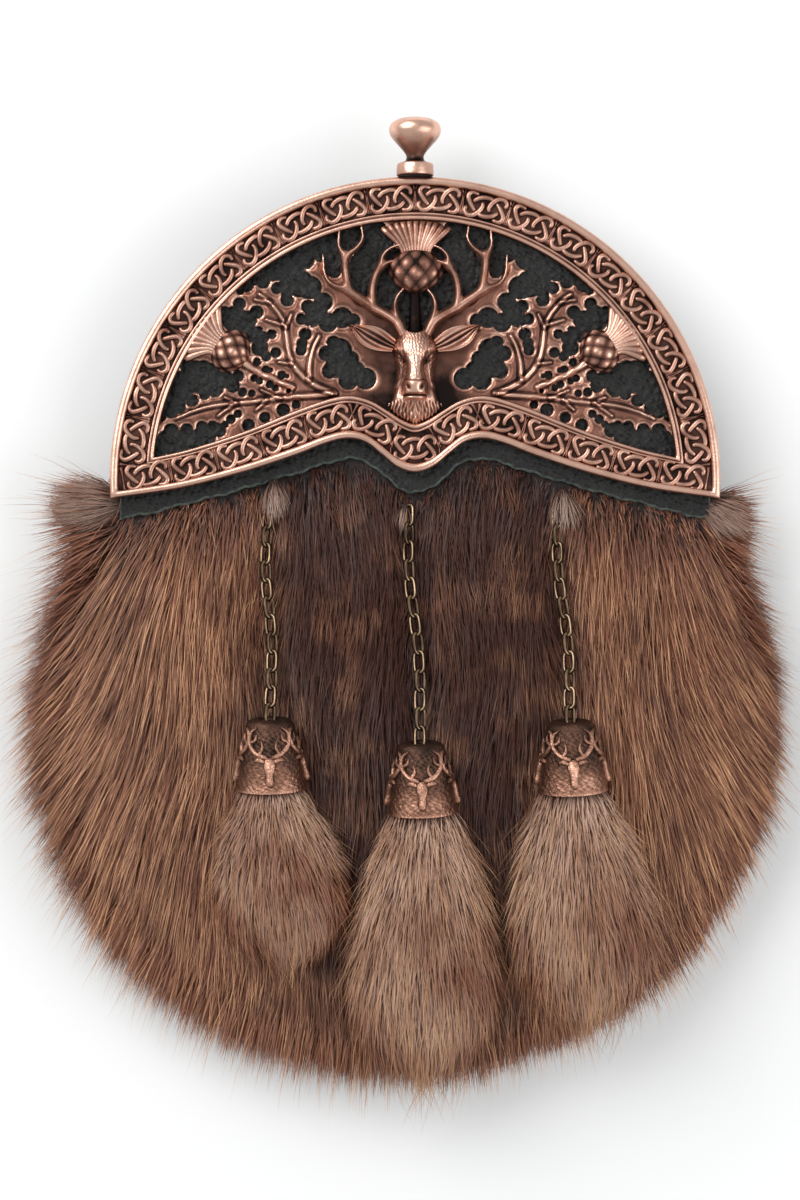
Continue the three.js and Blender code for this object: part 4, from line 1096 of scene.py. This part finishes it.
def make_head():
    x, y = np.meshgrid(np.arange(-7.2, 7.21, HEAD_STEP), np.arange(43.6, 69.8, HEAD_STEP))
    rows = spline(np.array(HEAD_SECTIONS), 260)
    half, coat, muzzle, front = (np.interp(y, rows[:, 0], rows[:, k]) for k in range(1, 5))
    across = np.abs(x)
    fan = np.arctan2(across, np.maximum(57 - y, 0.5))
    strands = np.sin(15 * fan + 0.8 * np.sin(1.3 * y)) * 0.6 + np.sin(31 * fan - 1.1 * y) * 0.4
    ruff = smoothstep(57, 49, y) * smoothstep(0.8, 1.25, across / np.maximum(muzzle, 0.3))
    beard = smoothstep(50, 49, y)
    tress = (
        np.sin(7.5 * across + 1.2 * np.sin(1.7 * y) + 0.6 * (y - 46))
        + 0.4 * np.sin(3.1 * y + 4 * across)
    )
    strands = strands * (1 - beard) + 0.8 * tress * beard
    shag = np.clip(ruff + beard, 0, 1)
    inside = np.minimum(half * (1 + 0.05 * strands * shag) - across, 66.3 + 0.14 * across**2 - y)
    body = np.sqrt(np.clip(1 - (across / np.maximum(half, 0.1)) ** 3, 0, 1))
    nose_bridge = np.sqrt(np.clip(1 - (across / np.maximum(muzzle, 0.1)) ** 2.6, 0, 1))
    height = 1.4 + (coat - 1.4) * body + (front - coat) * nose_bridge
    slant = (across - 4.1) * 0.75
    brow = np.exp(-(((y - 62.4 - slant * 0.5) / 0.75) ** 2) - ((across - 4) / 1.7) ** 2)
    socket = np.exp(-(((y - 60.5 - slant) / 0.75) ** 2) - ((across - 4) / 1.5) ** 2)
    eye = np.exp(-(((y - 60.5 - slant) / 0.42) ** 2) - ((across - 4.1) / 0.7) ** 2)
    cheek = (
        np.exp(-(((across - muzzle - 0.5) / 0.55) ** 2)) * smoothstep(50, 52, y)
        * smoothstep(60.5, 58.5, y)
    )
    nostril = np.exp(-(((across - 1.75 - 0.35 * (y - 52.8)) / 0.5) ** 2) - ((y - 52.8) / 0.75) ** 2)
    pad_edge = np.exp(-(((y - 54.3 - 0.05 * across**2) / 0.22) ** 2)) * smoothstep(3, 2.4, across)
    mouth = np.exp(-(((y - 50.75) / 0.3) ** 2)) * smoothstep(3.2, 2.4, across)
    lip = np.exp(-(((y - 50.05) / 0.35) ** 2)) * smoothstep(2.3, 1.7, across)
    hair = np.sin(8 * x + 2.3 * np.sin(2.1 * y)) * np.sin(3.1 * y + x) * smoothstep(54.6, 56, y)
    height += (
        0.7 * brow - 1.3 * socket + 0.9 * eye - 0.45 * cheek - 0.9 * nostril - 0.25 * pad_edge
        - 0.7 * mouth
    )
    height += 0.35 * lip + 0.3 * strands * shag + 0.11 * hair
    # The darkening of the socket, cheek grooves, nostrils, pad edge and mouth is the patina in these
    # hollows. The minus eye term brightens the eye's raised bead: its rubbed top, with a painted highlight
    # on it.
    dark = 0.9 * socket - 0.9 * eye + 0.35 * cheek + 1.1 * nostril + 0.6 * pad_edge + mouth
    # The term that falls from y 62 to 66 darkens the top of the forehead as painted shade, toning down the
    # key light's reflection there. The other terms are the rubbed high points.
    rub_and_painted_light = (
        0.56 + 0.2 * nose_bridge - 0.3 * smoothstep(62, 66, y) + 0.2 * body + 0.35 * brow
        + 0.5 * lip + 0.35 * strands * shag + 0.14 * hair
    )
    rub_and_painted_light = np.clip(rub_and_painted_light - dark + 0.2 * smoothstep(54.6, 54, y) * smoothstep(51, 51.4, y) * nose_bridge, 0, 1)
    face = relief(x, y, inside, CANTLE_Z + height, rub_and_painted_light, CANTLE_Z + 0.3)
    place_piece("stag_face", solid_mesh("stag_face", *face, outward=False), COPPER, "antique_copper")

    path = spline(EAR["route"], 40)
    half = np.maximum(spline(np.array(EAR["half"])[:, None], 40)[:, 0], 0.1)
    ahead = np.gradient(path, axis=0)
    normal = np.stack([-ahead[:, 1], ahead[:, 0]], axis=1) / np.linalg.norm(ahead, axis=1)[:, None]
    share = np.linspace(-1, 1, 41)
    bowl = 2.9 + 1.3 * share**2 + 0.3 * share
    tuft = np.sin(0.2 * np.arange(40)[:, None] + 14 * share) * (1 - share**2)
    top_z = 1.5 + (bowl - 1.5 + 0.16 * tuft) * (0.5 + 0.5 * np.minimum(1, half))[:, None]
    tone = np.clip(1.1 * share**2 + 0.3 + 0.4 * tuft, 0, 1)
    flat = path[:, None] + normal[:, None] * (half[:, None] * share)[..., None]
    upper = np.concatenate([flat, CANTLE_Z + top_z[..., None]], axis=-1)
    under = np.concatenate([flat, np.full(top_z.shape + (1,), CANTLE_Z + 0.8)], axis=-1)[:, ::-1]
    points, faces = skin(np.concatenate([upper, under], axis=1))
    ear = (points, faces, np.concatenate([tone, np.zeros_like(tone)], axis=1).ravel())
    place_piece(
        "stag_ears", solid_mesh("stag_ears", *gather([ear, mirrored(ear)])), COPPER, "antique_copper"
    )


def turned_about(points, degrees, x, y):
    turn = math.radians(degrees)
    c, s = math.cos(turn), math.sin(turn)
    points = np.asarray(points)
    return np.column_stack(
        [x + points[:, 0] * c - points[:, 1] * s, y + points[:, 0] * s + points[:, 1] * c, points[:, 2]]
    )


def make_thistles():
    parts = []
    for row in THISTLES:
        bulb = row["bulb"]
        lat = np.linspace(0.02, np.pi - 0.02, 44)
        lon = np.linspace(0, 2 * np.pi, 64, endpoint=False)
        v, u = np.meshgrid(lat, lon, indexing="ij")
        scale = np.abs(np.sin(4 * u + 3.2 * v)) * np.abs(np.sin(4 * u - 3.2 * v))
        swell = 1 + 0.13 * scale * np.sin(v)
        rings = np.stack(
            [
                -np.cos(v) * bulb * 1.02 * (1 - 0.06 * np.cos(v)),
                np.sin(v) * np.cos(u) * bulb * swell * (1.1 - 0.12 * np.cos(v)),
                CANTLE_Z + 1.4 + np.sin(v) * np.sin(u) * bulb * 0.62 * swell,
            ],
            axis=-1,
        )
        points, faces = skin(rings)
        parts.append((turned_about(points, row["turn"], row["x"], row["y"]), faces,
                      (row["rub_and_painted_light"] * scale ** 0.7).ravel()))
        for k in np.linspace(-1, 1, row["strands"]):
            foot, crown = bulb * 0.62 * k, row["spread"] * k
            far = row["reach"] - 1.6 * k * k
            path = spline([(bulb * 0.45, foot), (bulb * 1.1, foot * 1.05), (far, crown)], 10)
            rise = np.linspace(2.6, 2.2, 10) + 0.5 * (1 - k * k)
            pitch = 2 * row["spread"] / (row["strands"] - 1)
            taper = np.linspace(0.32, 0.56, 10) * pitch
            points, faces = sweep(np.column_stack([path, CANTLE_Z + rise - 0.8]), taper, 1, 8)
            tone = row["rub_and_painted_light"] * smoothstep(-0.2, 0.9, points[:, 2] - np.repeat(CANTLE_Z + rise - 0.8, 8))
            parts.append((turned_about(points, row["turn"], row["x"], row["y"]), faces, tone))
    stem = spline([(0, 78, 1.6), (0, 74, 1.4), (0, 70, 1.4), (0, 66.4, 1.6)], 16) + (0, 0, CANTLE_Z - 1)
    parts.append((*sweep(stem, np.linspace(1.1, 1.7, 16), 0.9, 10), 0.05))
    points, faces, rub_and_painted_light = gather(parts)
    place_piece("thistles", solid_mesh("thistles", points, faces, rub_and_painted_light), COPPER, "antique_copper")


def lathe(profile, sides):
    """Rings of a profile (along, radius) about the Y axis."""
    turn = np.arange(sides) * 2 * np.pi / sides
    return np.array([[(r * np.cos(a), y, r * np.sin(a)) for a in turn] for y, r in profile])


def make_knob():
    rows = spline(np.array(KNOB_PROFILE), 90)
    rings = lathe([(y, max(r, 0.02)) for y, r, _ in rows], 48) + (0, KNOB_FOOT, KNOB_Z)
    points, faces = skin(rings)
    rub_and_painted_light = np.repeat(np.clip(rows[:, 2], 0, 1), 48)
    place_piece(
        "knob_turned", solid_mesh("knob_turned", points, faces, rub_and_painted_light), COPPER, "antique_copper", "knob"
    )


# Pelt
PELT_OUTLINE = pouch_outline(0.5, 60)
PELT_TURNS = np.linspace(-np.pi, np.pi, 721)


def pelt_reaches():
    """Distance from the middle of the fur to the hide's edge, for each of PELT_TURNS."""
    a = PELT_OUTLINE - (0, POUCH_WIDEST_Y)
    side = np.roll(a, -1, axis=0) - a
    reaches = []
    for turn in PELT_TURNS:
        way = np.array([math.cos(turn), math.sin(turn)])
        cross = way[0] * side[:, 1] - way[1] * side[:, 0]
        cross = np.where(np.abs(cross) < 1e-9, 1e-9, cross)
        along = (a[:, 0] * side[:, 1] - a[:, 1] * side[:, 0]) / cross
        share = (a[:, 0] * way[1] - a[:, 1] * way[0]) / cross
        hit = along[(along > 0) & (share >= 0) & (share <= 1)].min()
        top = (HIDE_TOP_Y - POUCH_WIDEST_Y) / way[1] if way[1] > 1e-6 else 1e9
        reaches.append(min(hit, top))
    return np.array(reaches)


PELT_REACHES = pelt_reaches()


def hide_height(x, y):
    """Height of the hide's outer face."""
    x, y = np.asarray(x, float), np.asarray(y, float)
    reach = np.interp(np.arctan2(y - POUCH_WIDEST_Y, x), PELT_TURNS, PELT_REACHES)
    share = np.minimum(1, np.hypot(x, y - POUCH_WIDEST_Y) / reach)
    fall = 1 - smoothstep(DOME_FULL_Y, DOME_FLAT_Y, y)
    return HIDE_BASE + HIDE + DOME * (1 - share**2) * fall


def fur_flow(x, y):
    """The way the hair lies on the front: down the middle, outwards and down at the sides."""
    side = np.sign(x) * smoothstep(42, 100, np.abs(x))
    below = smoothstep(-45, -105, y)
    flow_x = 0.75 * side + 0.4 * below * x / POUCH_HALF_WIDTH
    flow_x = flow_x + 0.1 * np.sin(0.07 * x + 0.11 * y) + 0.07 * np.sin(0.19 * x - 0.06 * y)
    flow_y = -1 + 0.3 * np.abs(side)
    length = np.hypot(flow_x, flow_y)
    return flow_x / length, flow_y / length


def fur_tone(x, y):
    """0 on the dark middle of the pelt, 1 on the paler flanks."""
    flank = smoothstep(24, 52, np.abs(x - 1))
    foot = 0.75 * smoothstep(-66, -108, y)
    streaks = 0.2 * np.sin(0.31 * x + 0.03 * y) + 0.12 * np.sin(0.83 * x + 1.7 + 0.05 * y)
    return np.clip(0.85 * flank + foot + streaks * (0.4 + 0.6 * flank), 0, 1)


def guide_mesh(name, rings, flow, reach, tone, loop_rings=True):
    """A skin that carries fur: its rings, and the flow, length and tone of the hair at each point."""
    points, faces = skin(rings, caps=False)
    if not loop_rings:
        sides = np.asarray(rings).shape[1]
        faces = [face for face in faces if abs(face[0] % sides - face[1] % sides) == 1]
    mesh = solid_mesh(name, points, faces, outward=False)
    mesh.attributes.new("flow", "FLOAT_VECTOR", "POINT").data.foreach_set(
        "vector", np.asarray(flow, np.float32).reshape(-1)
    )
    mesh.attributes.new("reach", "FLOAT", "POINT").data.foreach_set(
        "value", np.asarray(reach, np.float32).ravel() * MM
    )
    mesh.attributes.new("tone", "FLOAT", "POINT").data.foreach_set(
        "value", np.asarray(tone, np.float32).ravel()
    )
    return mesh


def strand_mesh(rows):
    """One hair: a narrow tapering strip, a unit long and wide, that rises and then bends over."""
    points, along, faces = [], [], []
    for y, width, z in rows:
        points += [(-width / 2, y, z), (width / 2, y, z)]
        along += [y, y]
    points.append((0, 1, 0))
    along.append(1)
    for k in range(len(rows) - 1):
        faces.append((2 * k, 2 * k + 1, 2 * k + 3, 2 * k + 2))
    faces.append((2 * len(rows) - 2, 2 * len(rows) - 1, 2 * len(rows)))
    mesh = bpy.data.meshes.new("strand")
    mesh.from_pydata(points, [], faces)
    mesh.attributes.new("along", "FLOAT", "POINT").data.foreach_set("value", np.array(along, np.float32))
    mesh.shade_smooth()
    return mesh


SHORT_HAIR = pattern_object("short_hair", strand_mesh([(0, 0.9, 0), (0.52, 1, 0.075)]))
LONG_HAIR = pattern_object("long_hair", strand_mesh([(0, 0.9, 0), (0.38, 1, 0.07), (0.74, 0.7, 0.06)]))


def grow_fur(name, guide, hair, material, slot, count, width, lift, stray, lock_size, lock_pull, seed):
    """Grows about this many hairs on a guide and puts them on the part."""
    area = sum(face.area for face in guide.polygons)
    mesh = run_tree(
        guide,
        FUR,
        Strand=hair,
        Finish=material,
        Density=count / area,
        Width=width * MM,
        Lift=lift,
        Stray=stray,
        Seed=seed,
        **{"Lock Size": per_mm(lock_size), "Lock Pull": lock_pull},
    )
    mesh.shade_smooth()
    return place_piece(name, mesh, material, slot)


def chain_clearance(x, y):
    """Shorter hair along the chains, so that they lie on it."""
    short = np.ones_like(x)
    for row in TASSELS:
        (x0, y0), (x1, y1) = row["root"], row["cap"]
        share = np.clip((y0 - y) / (y0 - y1), 0, 1)
        away = np.abs(x - x0 - (x1 - x0) * share)
        beside = 1 - smoothstep(2, 7, away)
        within = smoothstep(y1 - 4, y1 + 4, y) * (1 - smoothstep(y0 - 2, y0 + 3, y))
        short = np.minimum(short, 1 - 0.6 * beside * within)
    return short


def make_pelt():
    shares = np.linspace(0.02, 1, 26)
    turns = PELT_TURNS[:-1:4]
    reach = np.interp(turns, PELT_TURNS, PELT_REACHES)
    x = shares[:, None] * reach * np.cos(turns)
    y = POUCH_WIDEST_Y + shares[:, None] * reach * np.sin(turns)
    z = hide_height(x, y)
    flow_x, flow_y = fur_flow(x, y)
    flow_z = hide_height(x + flow_x, y + flow_y) - z - 0.3 * smoothstep(0.8, 1, shares)[:, None]
    length = (17 + 6 * smoothstep(30, 80, np.abs(x))) * chain_clearance(x, y)
    length *= 1 - 0.14 * np.sign(x) * smoothstep(40, 80, np.abs(x))
    facing = facing_edge()
    clear = smoothstep(-0.5, -4, y - np.interp(x, facing[:, 0], facing[:, 1]))
    length *= np.where(np.abs(x) < FACING_ARCH_R - 4.5, np.maximum(0.05, clear), np.maximum(0.6, clear))
    top = np.stack([x, y, z], axis=-1)
    flow = np.stack([flow_x, flow_y, flow_z], axis=-1)
    tone_front = fur_tone(x, y)
    front = guide_mesh("pelt_front", top[::-1], flow[::-1], length[::-1], tone_front[::-1])

    edge_turns = np.linspace(math.radians(-215), math.radians(34.5), 200)
    reach = np.interp((edge_turns + np.pi) % (2 * np.pi) - np.pi, PELT_TURNS, PELT_REACHES)
    out = np.stack([np.cos(edge_turns), np.sin(edge_turns)], axis=1)
    edge = out * reach[:, None] + (0, POUCH_WIDEST_Y)
    rows, flows, lengths = [], [], []
    for drop in np.linspace(0, 1, 6):
        rows.append(np.column_stack([edge + out * 0.8 * drop,
                                     HIDE_BASE + HIDE + 0.3 - 8 * drop * np.ones(len(edge))]))
        corner = smoothstep(12, 32, edge[:, 1])[:, None]
        lean = out * (0.6 + 0.3 * corner) + (0, -0.75) * (1 - 0.8 * corner)
        flows.append(np.column_stack([lean, np.full(len(edge), -0.1 - 0.45 * drop)]))
        lengths.append((EDGE_FUR + 4 - SIDE_FUR * out[:, 0]) * (1 - 0.2 * drop))
    tone = np.tile(np.minimum(1, fur_tone(edge[:, 0], edge[:, 1]) + 0.2), (6, 1))
    rim = guide_mesh("pelt_rim", rows[::-1], flows[::-1], lengths[::-1], tone, loop_rings=False)

    foot = top[-1] * (1, 1, 0) + (0, 0, HIDE_BASE)
    hide = skin([foot * (0.02, 0.02, 1) + (0, 0.98 * POUCH_WIDEST_Y, 0), foot, *top[::-1]])
    # The hide has no 'along' attribute, so it takes the hairs' root colour: dark underfur with painted
    # shade.
    place_piece("pelt_skin", solid_mesh("pelt_skin", *hide), UNDERFUR, "brown_fur", "fur_front")
    grow_fur("fur_under", front.copy(), SHORT_HAIR, UNDERFUR, "brown_fur", **PELT_COATS["fur_under"])
    grow_fur("fur_coat", front.copy(), SHORT_HAIR, UNDERFUR, "brown_fur", **PELT_COATS["fur_coat"])
    long_hair = guide_mesh("pelt_guard", top[::-1], flow[::-1], length[::-1] * 1.12, tone_front[::-1])
    grow_fur("fur_guard", long_hair, LONG_HAIR, GUARD_HAIR, "brown_fur", **PELT_COATS["fur_guard"])
    stray = guide_mesh(
        "pelt_stray", rows[::-1], flows[::-1], np.array(lengths[::-1]) * 1.35, tone, loop_rings=False
    )
    grow_fur("fur_stray", stray, LONG_HAIR, GUARD_HAIR, "brown_fur", **PELT_COATS["fur_stray"])
    grow_fur("fur_edge", rim, SHORT_HAIR, UNDERFUR, "brown_fur", **PELT_COATS["fur_edge"])


def make_tuft(name, x0, y0, z0, wide, tall, flow, length, count, seed):
    """Small pale tuft that stands out of the pelt."""
    turns = np.arange(24) * 2 * np.pi / 24
    rise = np.linspace(0, 1.5, 6)[:, None]
    rings = np.stack(
        [
            x0 + wide * np.cos(rise) * np.cos(turns),
            y0 + tall * np.cos(rise) * np.sin(turns),
            z0 + 1.6 * np.sin(rise) + 0 * turns,
        ],
        axis=-1,
    )
    shape = rings.shape[:2]
    guide = guide_mesh(
        name, rings, np.broadcast_to(flow, rings.shape), np.full(shape, length), np.full(shape, 0.5)
    )
    grow_fur(name, guide, LONG_HAIR, PALE_FUR, "brown_fur", count, seed=seed, **TUFT_COAT)


def make_tufts():
    for row in ROOT_TUFTS:
        make_tuft(**row)


# Tassels
def cap_matrix(row):
    """Place of a cap: its top on the chain, dipped to lie on the fur and turned a little."""
    dip = math.radians(TASSEL_DIP)
    x, y = row["cap"]
    mouth = float(hide_height(x, y - CAP_LENGTH)) + CAP_LIFT + CAP_MOUTH_R
    top = Vector((x, y, mouth + CAP_LENGTH * math.sin(dip)))
    return Matrix.Translation(top) @ Matrix.Rotation(math.radians(row["turn"]), 4,
                                                     "Z") @ Matrix.Rotation(dip, 4, "X")


def moved(points, matrix):
    points = np.asarray(points, float)
    turn = np.array(matrix.to_3x3())
    return points @ turn.T + np.array(matrix.translation)


def chain_path(row):
    top = np.array(cap_matrix(row).translation)
    start = np.array([*row["root"], 0.0])
    start[2] = float(hide_height(start[0], start[1])) + LINK["wire"] + LINK["width"] / 2 + 0.3
    points = [start]
    for share in (0.3, 0.65):
        p = start + (top - start) * share
        p[0] += -0.7 if share < 0.5 else 0.7
        p[2] = max(
            float(hide_height(p[0], p[1])) + CHAIN_LIFT, start[2] + (top[2] - start[2]) * share * share
        )
        points.append(p)
    points.append(top - (0, CAP_WALL, 0))
    return np.array(points)


def make_chain(row):
    walk = spaced(spline(chain_path(row), 200), 2 * row["links"] + 1)
    pitch = np.linalg.norm(walk[2] - walk[0])
    half = pitch / 2 + 2 * LINK["wire"] - LINK["bite"] / 2 - LINK["wire"]
    round_r = LINK["width"] / 2 - LINK["wire"]
    turn = np.arange(28) * 2 * np.pi / 28
    c, s = np.cos(turn), np.sin(turn)
    path = np.stack([c * round_r + np.tanh(4 * c) * (half - round_r), s * round_r, 0 * c], axis=1)
    out = np.stack([c, s, 0 * c], axis=1)
    wire = np.arange(10) * 2 * np.pi / 10
    rings = path[:, None] + LINK["wire"] * (
        out[:, None] * np.cos(wire)[None, :, None] + np.array([0, 0, 1]) * np.sin(wire)[None, :, None]
    )
    points, faces = skin(rings, loop=True)
    rub_and_painted_light = 0.2 + 0.6 * smoothstep(0.1, 0.42, np.abs(points[:, 2]))
    pattern = solid_mesh("link", points, faces, rub_and_painted_light)
    places, turns = [], []
    for i, (before, here, after) in enumerate(zip(walk[0::2], walk[1::2], walk[2::2])):
        way = Vector(after - before).normalized()
        roll = Matrix.Rotation(math.radians(LINK["turn"] + 90 * (i % 2) + 9 * math.sin(3 * i)), 4, "X")
        turns.append((way.to_track_quat("X", "Z").to_matrix().to_4x4() @ roll).to_euler())
        places.append(here)
    mesh = repeat("chain_" + row["name"], pattern, places, turns, CHAIN_BRASS)
    place_piece("chain_links_" + row["name"], mesh, CHAIN_BRASS, "chain_brass", "chain_" + row["name"])


CAP_PROFILE = [
    (-CAP_LENGTH, CAP_MOUTH_R - 0.9), (-CAP_LENGTH, CAP_MOUTH_R - 0.1), (-CAP_LENGTH + 0.4, CAP_MOUTH_R),
    (-14, 8.05),
    (-10, 7.4), (-6, 6.75), (-2.6, 6.15), (-1.1, 5.75), (-0.3, 4.9), (0, 3.6), (-0.3, 2.4), (-1.4, 2.3),
]
CAP_STAG = [
    dict(route=[(0, -15.4), (0, -14.6), (0, -12.8), (0, -10.6), (0, -8.6)], half=[0.7, 1.1, 1, 1.65, 1.1],
         rise=[1.1, 1.5, 1.2, 1.2, 0.7]),
    dict(route=[(-1.2, -9.6), (-2.6, -9.1), (-4, -9.6)], half=[0.55, 0.75, 0.15], rise=[0.8, 0.8, 0.4]),
    dict(route=[(-0.7, -8.6), (-3.2, -7.6), (-5, -5.4), (-4.7, -2.8), (-3, -1.5)],
         half=[0.65, 0.7, 0.62, 0.5, 0.15],
         rise=[0.8, 0.9, 0.9, 0.8, 0.4]),
    dict(route=[(-4.9, -5.2), (-3.4, -4.4), (-3, -2.9)], half=[0.5, 0.45, 0.15], rise=[0.8, 0.7, 0.4]),
    dict(route=[(-2.5, -7.9), (-1.6, -6.2), (-1.9, -4.4)], half=[0.5, 0.45, 0.15], rise=[0.8, 0.7, 0.4]),
]


def cone_radius(y):
    return CAP_TOP_R + 0.3 + (CAP_MOUTH_R - CAP_TOP_R - 0.3) * np.clip(-np.asarray(y) / CAP_LENGTH, 0, 1)


def make_cap(row):
    profile = spline(CAP_PROFILE, 84)
    rings = lathe(profile, 126)
    around = np.arctan2(rings[..., 2], rings[..., 0])
    along = rings[..., 1]
    blows = np.sin(24 * around + 1.3 * np.sin(2.1 * along)) * np.sin(
        4.1 * along + 1.4 * np.sin(7 * around)
    )
    body = smoothstep(-17, -16.2, along) * smoothstep(-1.5, -3, along)
    dents = 1 - 0.013 * body * blows
    rings[..., 0] *= dents
    rings[..., 2] *= dents
    points, faces = skin(rings, caps=False)
    foot = smoothstep(-16.6, -17.2, along)
    rub_and_painted_light = 0.22 - 0.2 * blows * body + 0.4 * smoothstep(-8, -16, along) + 0.2 * foot
    parts = [(points, faces, rub_and_painted_light.ravel())]
    for k in range(4):
        for limb in CAP_STAG:
            for side in (1, -1):
                if side < 0 and limb["route"][0][0] == 0:
                    continue
                path = spline(limb["route"], 12) * (side, 1)
                half = spline(np.array(limb["half"])[:, None], 12)[:, 0]
                rise = spline(np.array(limb["rise"])[:, None], 12)[:, 0]
                points, faces = sweep(np.column_stack([path, np.zeros(12)]), half, rise, 8)
                radius = cone_radius(points[:, 1]) + points[:, 2]
                turn = np.pi / 2 + k * np.pi / 2 - points[:, 0] / cone_radius(points[:, 1])
                wrapped = np.stack([radius * np.cos(turn), points[:, 1], radius * np.sin(turn)], axis=1)
                parts.append((wrapped, faces, 0.3 + 0.5 * smoothstep(0, 0.9, points[:, 2])))
    points, faces, rub_and_painted_light = gather(parts)
    mesh = solid_mesh("cap_" + row["name"], moved(points, cap_matrix(row)), faces, rub_and_painted_light)
    place_piece("cap_cast_" + row["name"], mesh, CAP_COPPER, "dark_copper", "cap_" + row["name"])


TASSEL_SHAPE = [
    (0, 0.42, 0.9), (0.08, 0.46, 0.95), (0.25, 0.62, 1), (0.5, 0.8, 1), (0.7, 0.86, 0.92),
    (0.85, 0.8, 0.75),
    (0.94, 0.6, 0.5), (0.98, 0.3, 0.2),
]


def make_tassel(row):
    rows = spline(TASSEL_SHAPE, 26)
    turn = np.arange(40) * 2 * np.pi / 40
    share = rows[:, 0][:, None]
    body = row["length"] * 0.86
    wide = rows[:, 1][:, None] * row["width"] / 2
    thick = rows[:, 2][:, None] * TASSEL_THICK / 2
    x = wide * np.cos(turn) + row["sway"] * share
    y = -CAP_LENGTH + 1.5 - body * share + 0 * turn
    z = thick * np.sin(turn) - 3 * share**2
    rings = np.stack([x, y, z], axis=-1)
    flow = np.gradient(rings, axis=0)
    flow /= np.linalg.norm(flow, axis=-1)[..., None]
    flow[..., 1] = np.minimum(flow[..., 1], -0.35 - 1.6 * smoothstep(0.7, 0.93, share))
    flow[..., 0] += 0.12 * np.cos(turn) * (1 - share)
    matrix = cap_matrix(row)
    rings = moved(rings.reshape(-1, 3), matrix).reshape(rings.shape)
    flow = (flow.reshape(-1, 3) @ np.array(matrix.to_3x3()).T).reshape(rings.shape)
    length = np.broadcast_to(9 + 8 * share, x.shape) * min(1, row["length"] / 57)
    tone = row["pale"] - 0.5 * smoothstep(0.1, 0.6, share) + 0.25 * np.sin(2 * turn + 6 * share)
    guide = guide_mesh("tassel_guide", rings, flow, length, tone)
    edit = bmesh.new()
    edit.from_mesh(guide)
    bmesh.ops.recalc_face_normals(edit, faces=edit.faces)
    edit.to_mesh(guide)
    edit.free()
    # The tassel's core has no 'along' attribute, so it takes the fur's root colour: dark underfur with
    # painted shade.
    core = solid_mesh("tassel_core", *skin(rings))
    name = row["name"]
    place_piece("tassel_core_" + name, core, TASSEL_FUR, "tassel_fur", "tassel_" + name)
    seed = TASSEL_SEED + TASSELS.index(row)
    count = int(TASSEL_HAIRS_PER_MM * row["length"])
    longer = guide.copy()
    longer.attributes["reach"].data.foreach_set(
        "value", (length * LONG_REACH * MM).astype(np.float32).ravel()
    )
    long_count = count // SHORT_TO_LONG
    long_coat = dict(TASSEL_LONG_COAT, count=long_count, seed=seed + 10)
    grow_fur("tassel_hair_" + name, longer, LONG_HAIR, TASSEL_HAIR, "tassel_fur", **long_coat)
    grow_fur(
        "tassel_fur_" + name, guide, SHORT_HAIR, TASSEL_FUR, "tassel_fur", count, seed=seed, **TASSEL_COAT
    )


# Camera, floor and light
def make_stage():
    camera = bpy.data.objects.new("camera", bpy.data.cameras.new("camera"))
    camera.data.lens = LENS
    camera.data.sensor_width = SENSOR
    camera.data.clip_start = NEAR_CLIP
    distance = FRAME_HEIGHT * LENS / SENSOR
    camera.location = (FRAME_CENTRE_X * MM, 0, (CANTLE_Z + distance) * MM)
    bpy.context.scene.collection.objects.link(camera)
    bpy.context.scene.camera = camera

    corners = [(FLOOR_REACH * x, FLOOR_REACH * y, 0) for x, y in [(-1, -1), (1, -1), (1, 1), (-1, 1)]]
    floor_mesh = bpy.data.meshes.new("floor")
    floor_mesh.from_pydata(corners, [], [(0, 1, 2, 3)])
    floor = bpy.data.objects.new("floor", floor_mesh)
    floor.location.z = -FLOOR_DROP * MM
    bpy.context.scene.collection.objects.link(floor)
    paint, _, shader, _ = new_material("pale_floor")
    shader.inputs["Base Color"].default_value = linear("#F4F4F3")
    shader.inputs["Roughness"].default_value = 0.8
    floor_mesh.materials.append(paint)

    world = bpy.data.worlds.new("studio")
    world.use_nodes = True
    world.node_tree.nodes["Background"].inputs["Color"].default_value = linear("#F2F4F6")
    world.node_tree.nodes["Background"].inputs["Strength"].default_value = SKY_STRENGTH
    bpy.context.scene.world = world
    bpy.context.scene.view_settings.view_transform = "Standard"
    for row in LIGHTS:
        light = bpy.data.objects.new(row["name"], bpy.data.lights.new(row["name"], "AREA"))
        light.data.size = row["size"]
        light.data.energy = row["watts"]
        light.location = row["place"]
        light.rotation_euler = (Vector(LIGHT_AIM) - light.location).to_track_quat("-Z", "Y").to_euler()
        bpy.context.scene.collection.objects.link(light)


make_stage()
make_back()
make_facing()
make_border()
make_knots()
make_field()
make_antlers()
make_head()
make_thistles()
make_knob()
make_pelt()
make_tufts()
for tassel in TASSELS:
    make_chain(tassel)
    make_cap(tassel)
    make_tassel(tassel)
bpy.data.objects.remove(SHORT_HAIR)
bpy.data.objects.remove(LONG_HAIR)
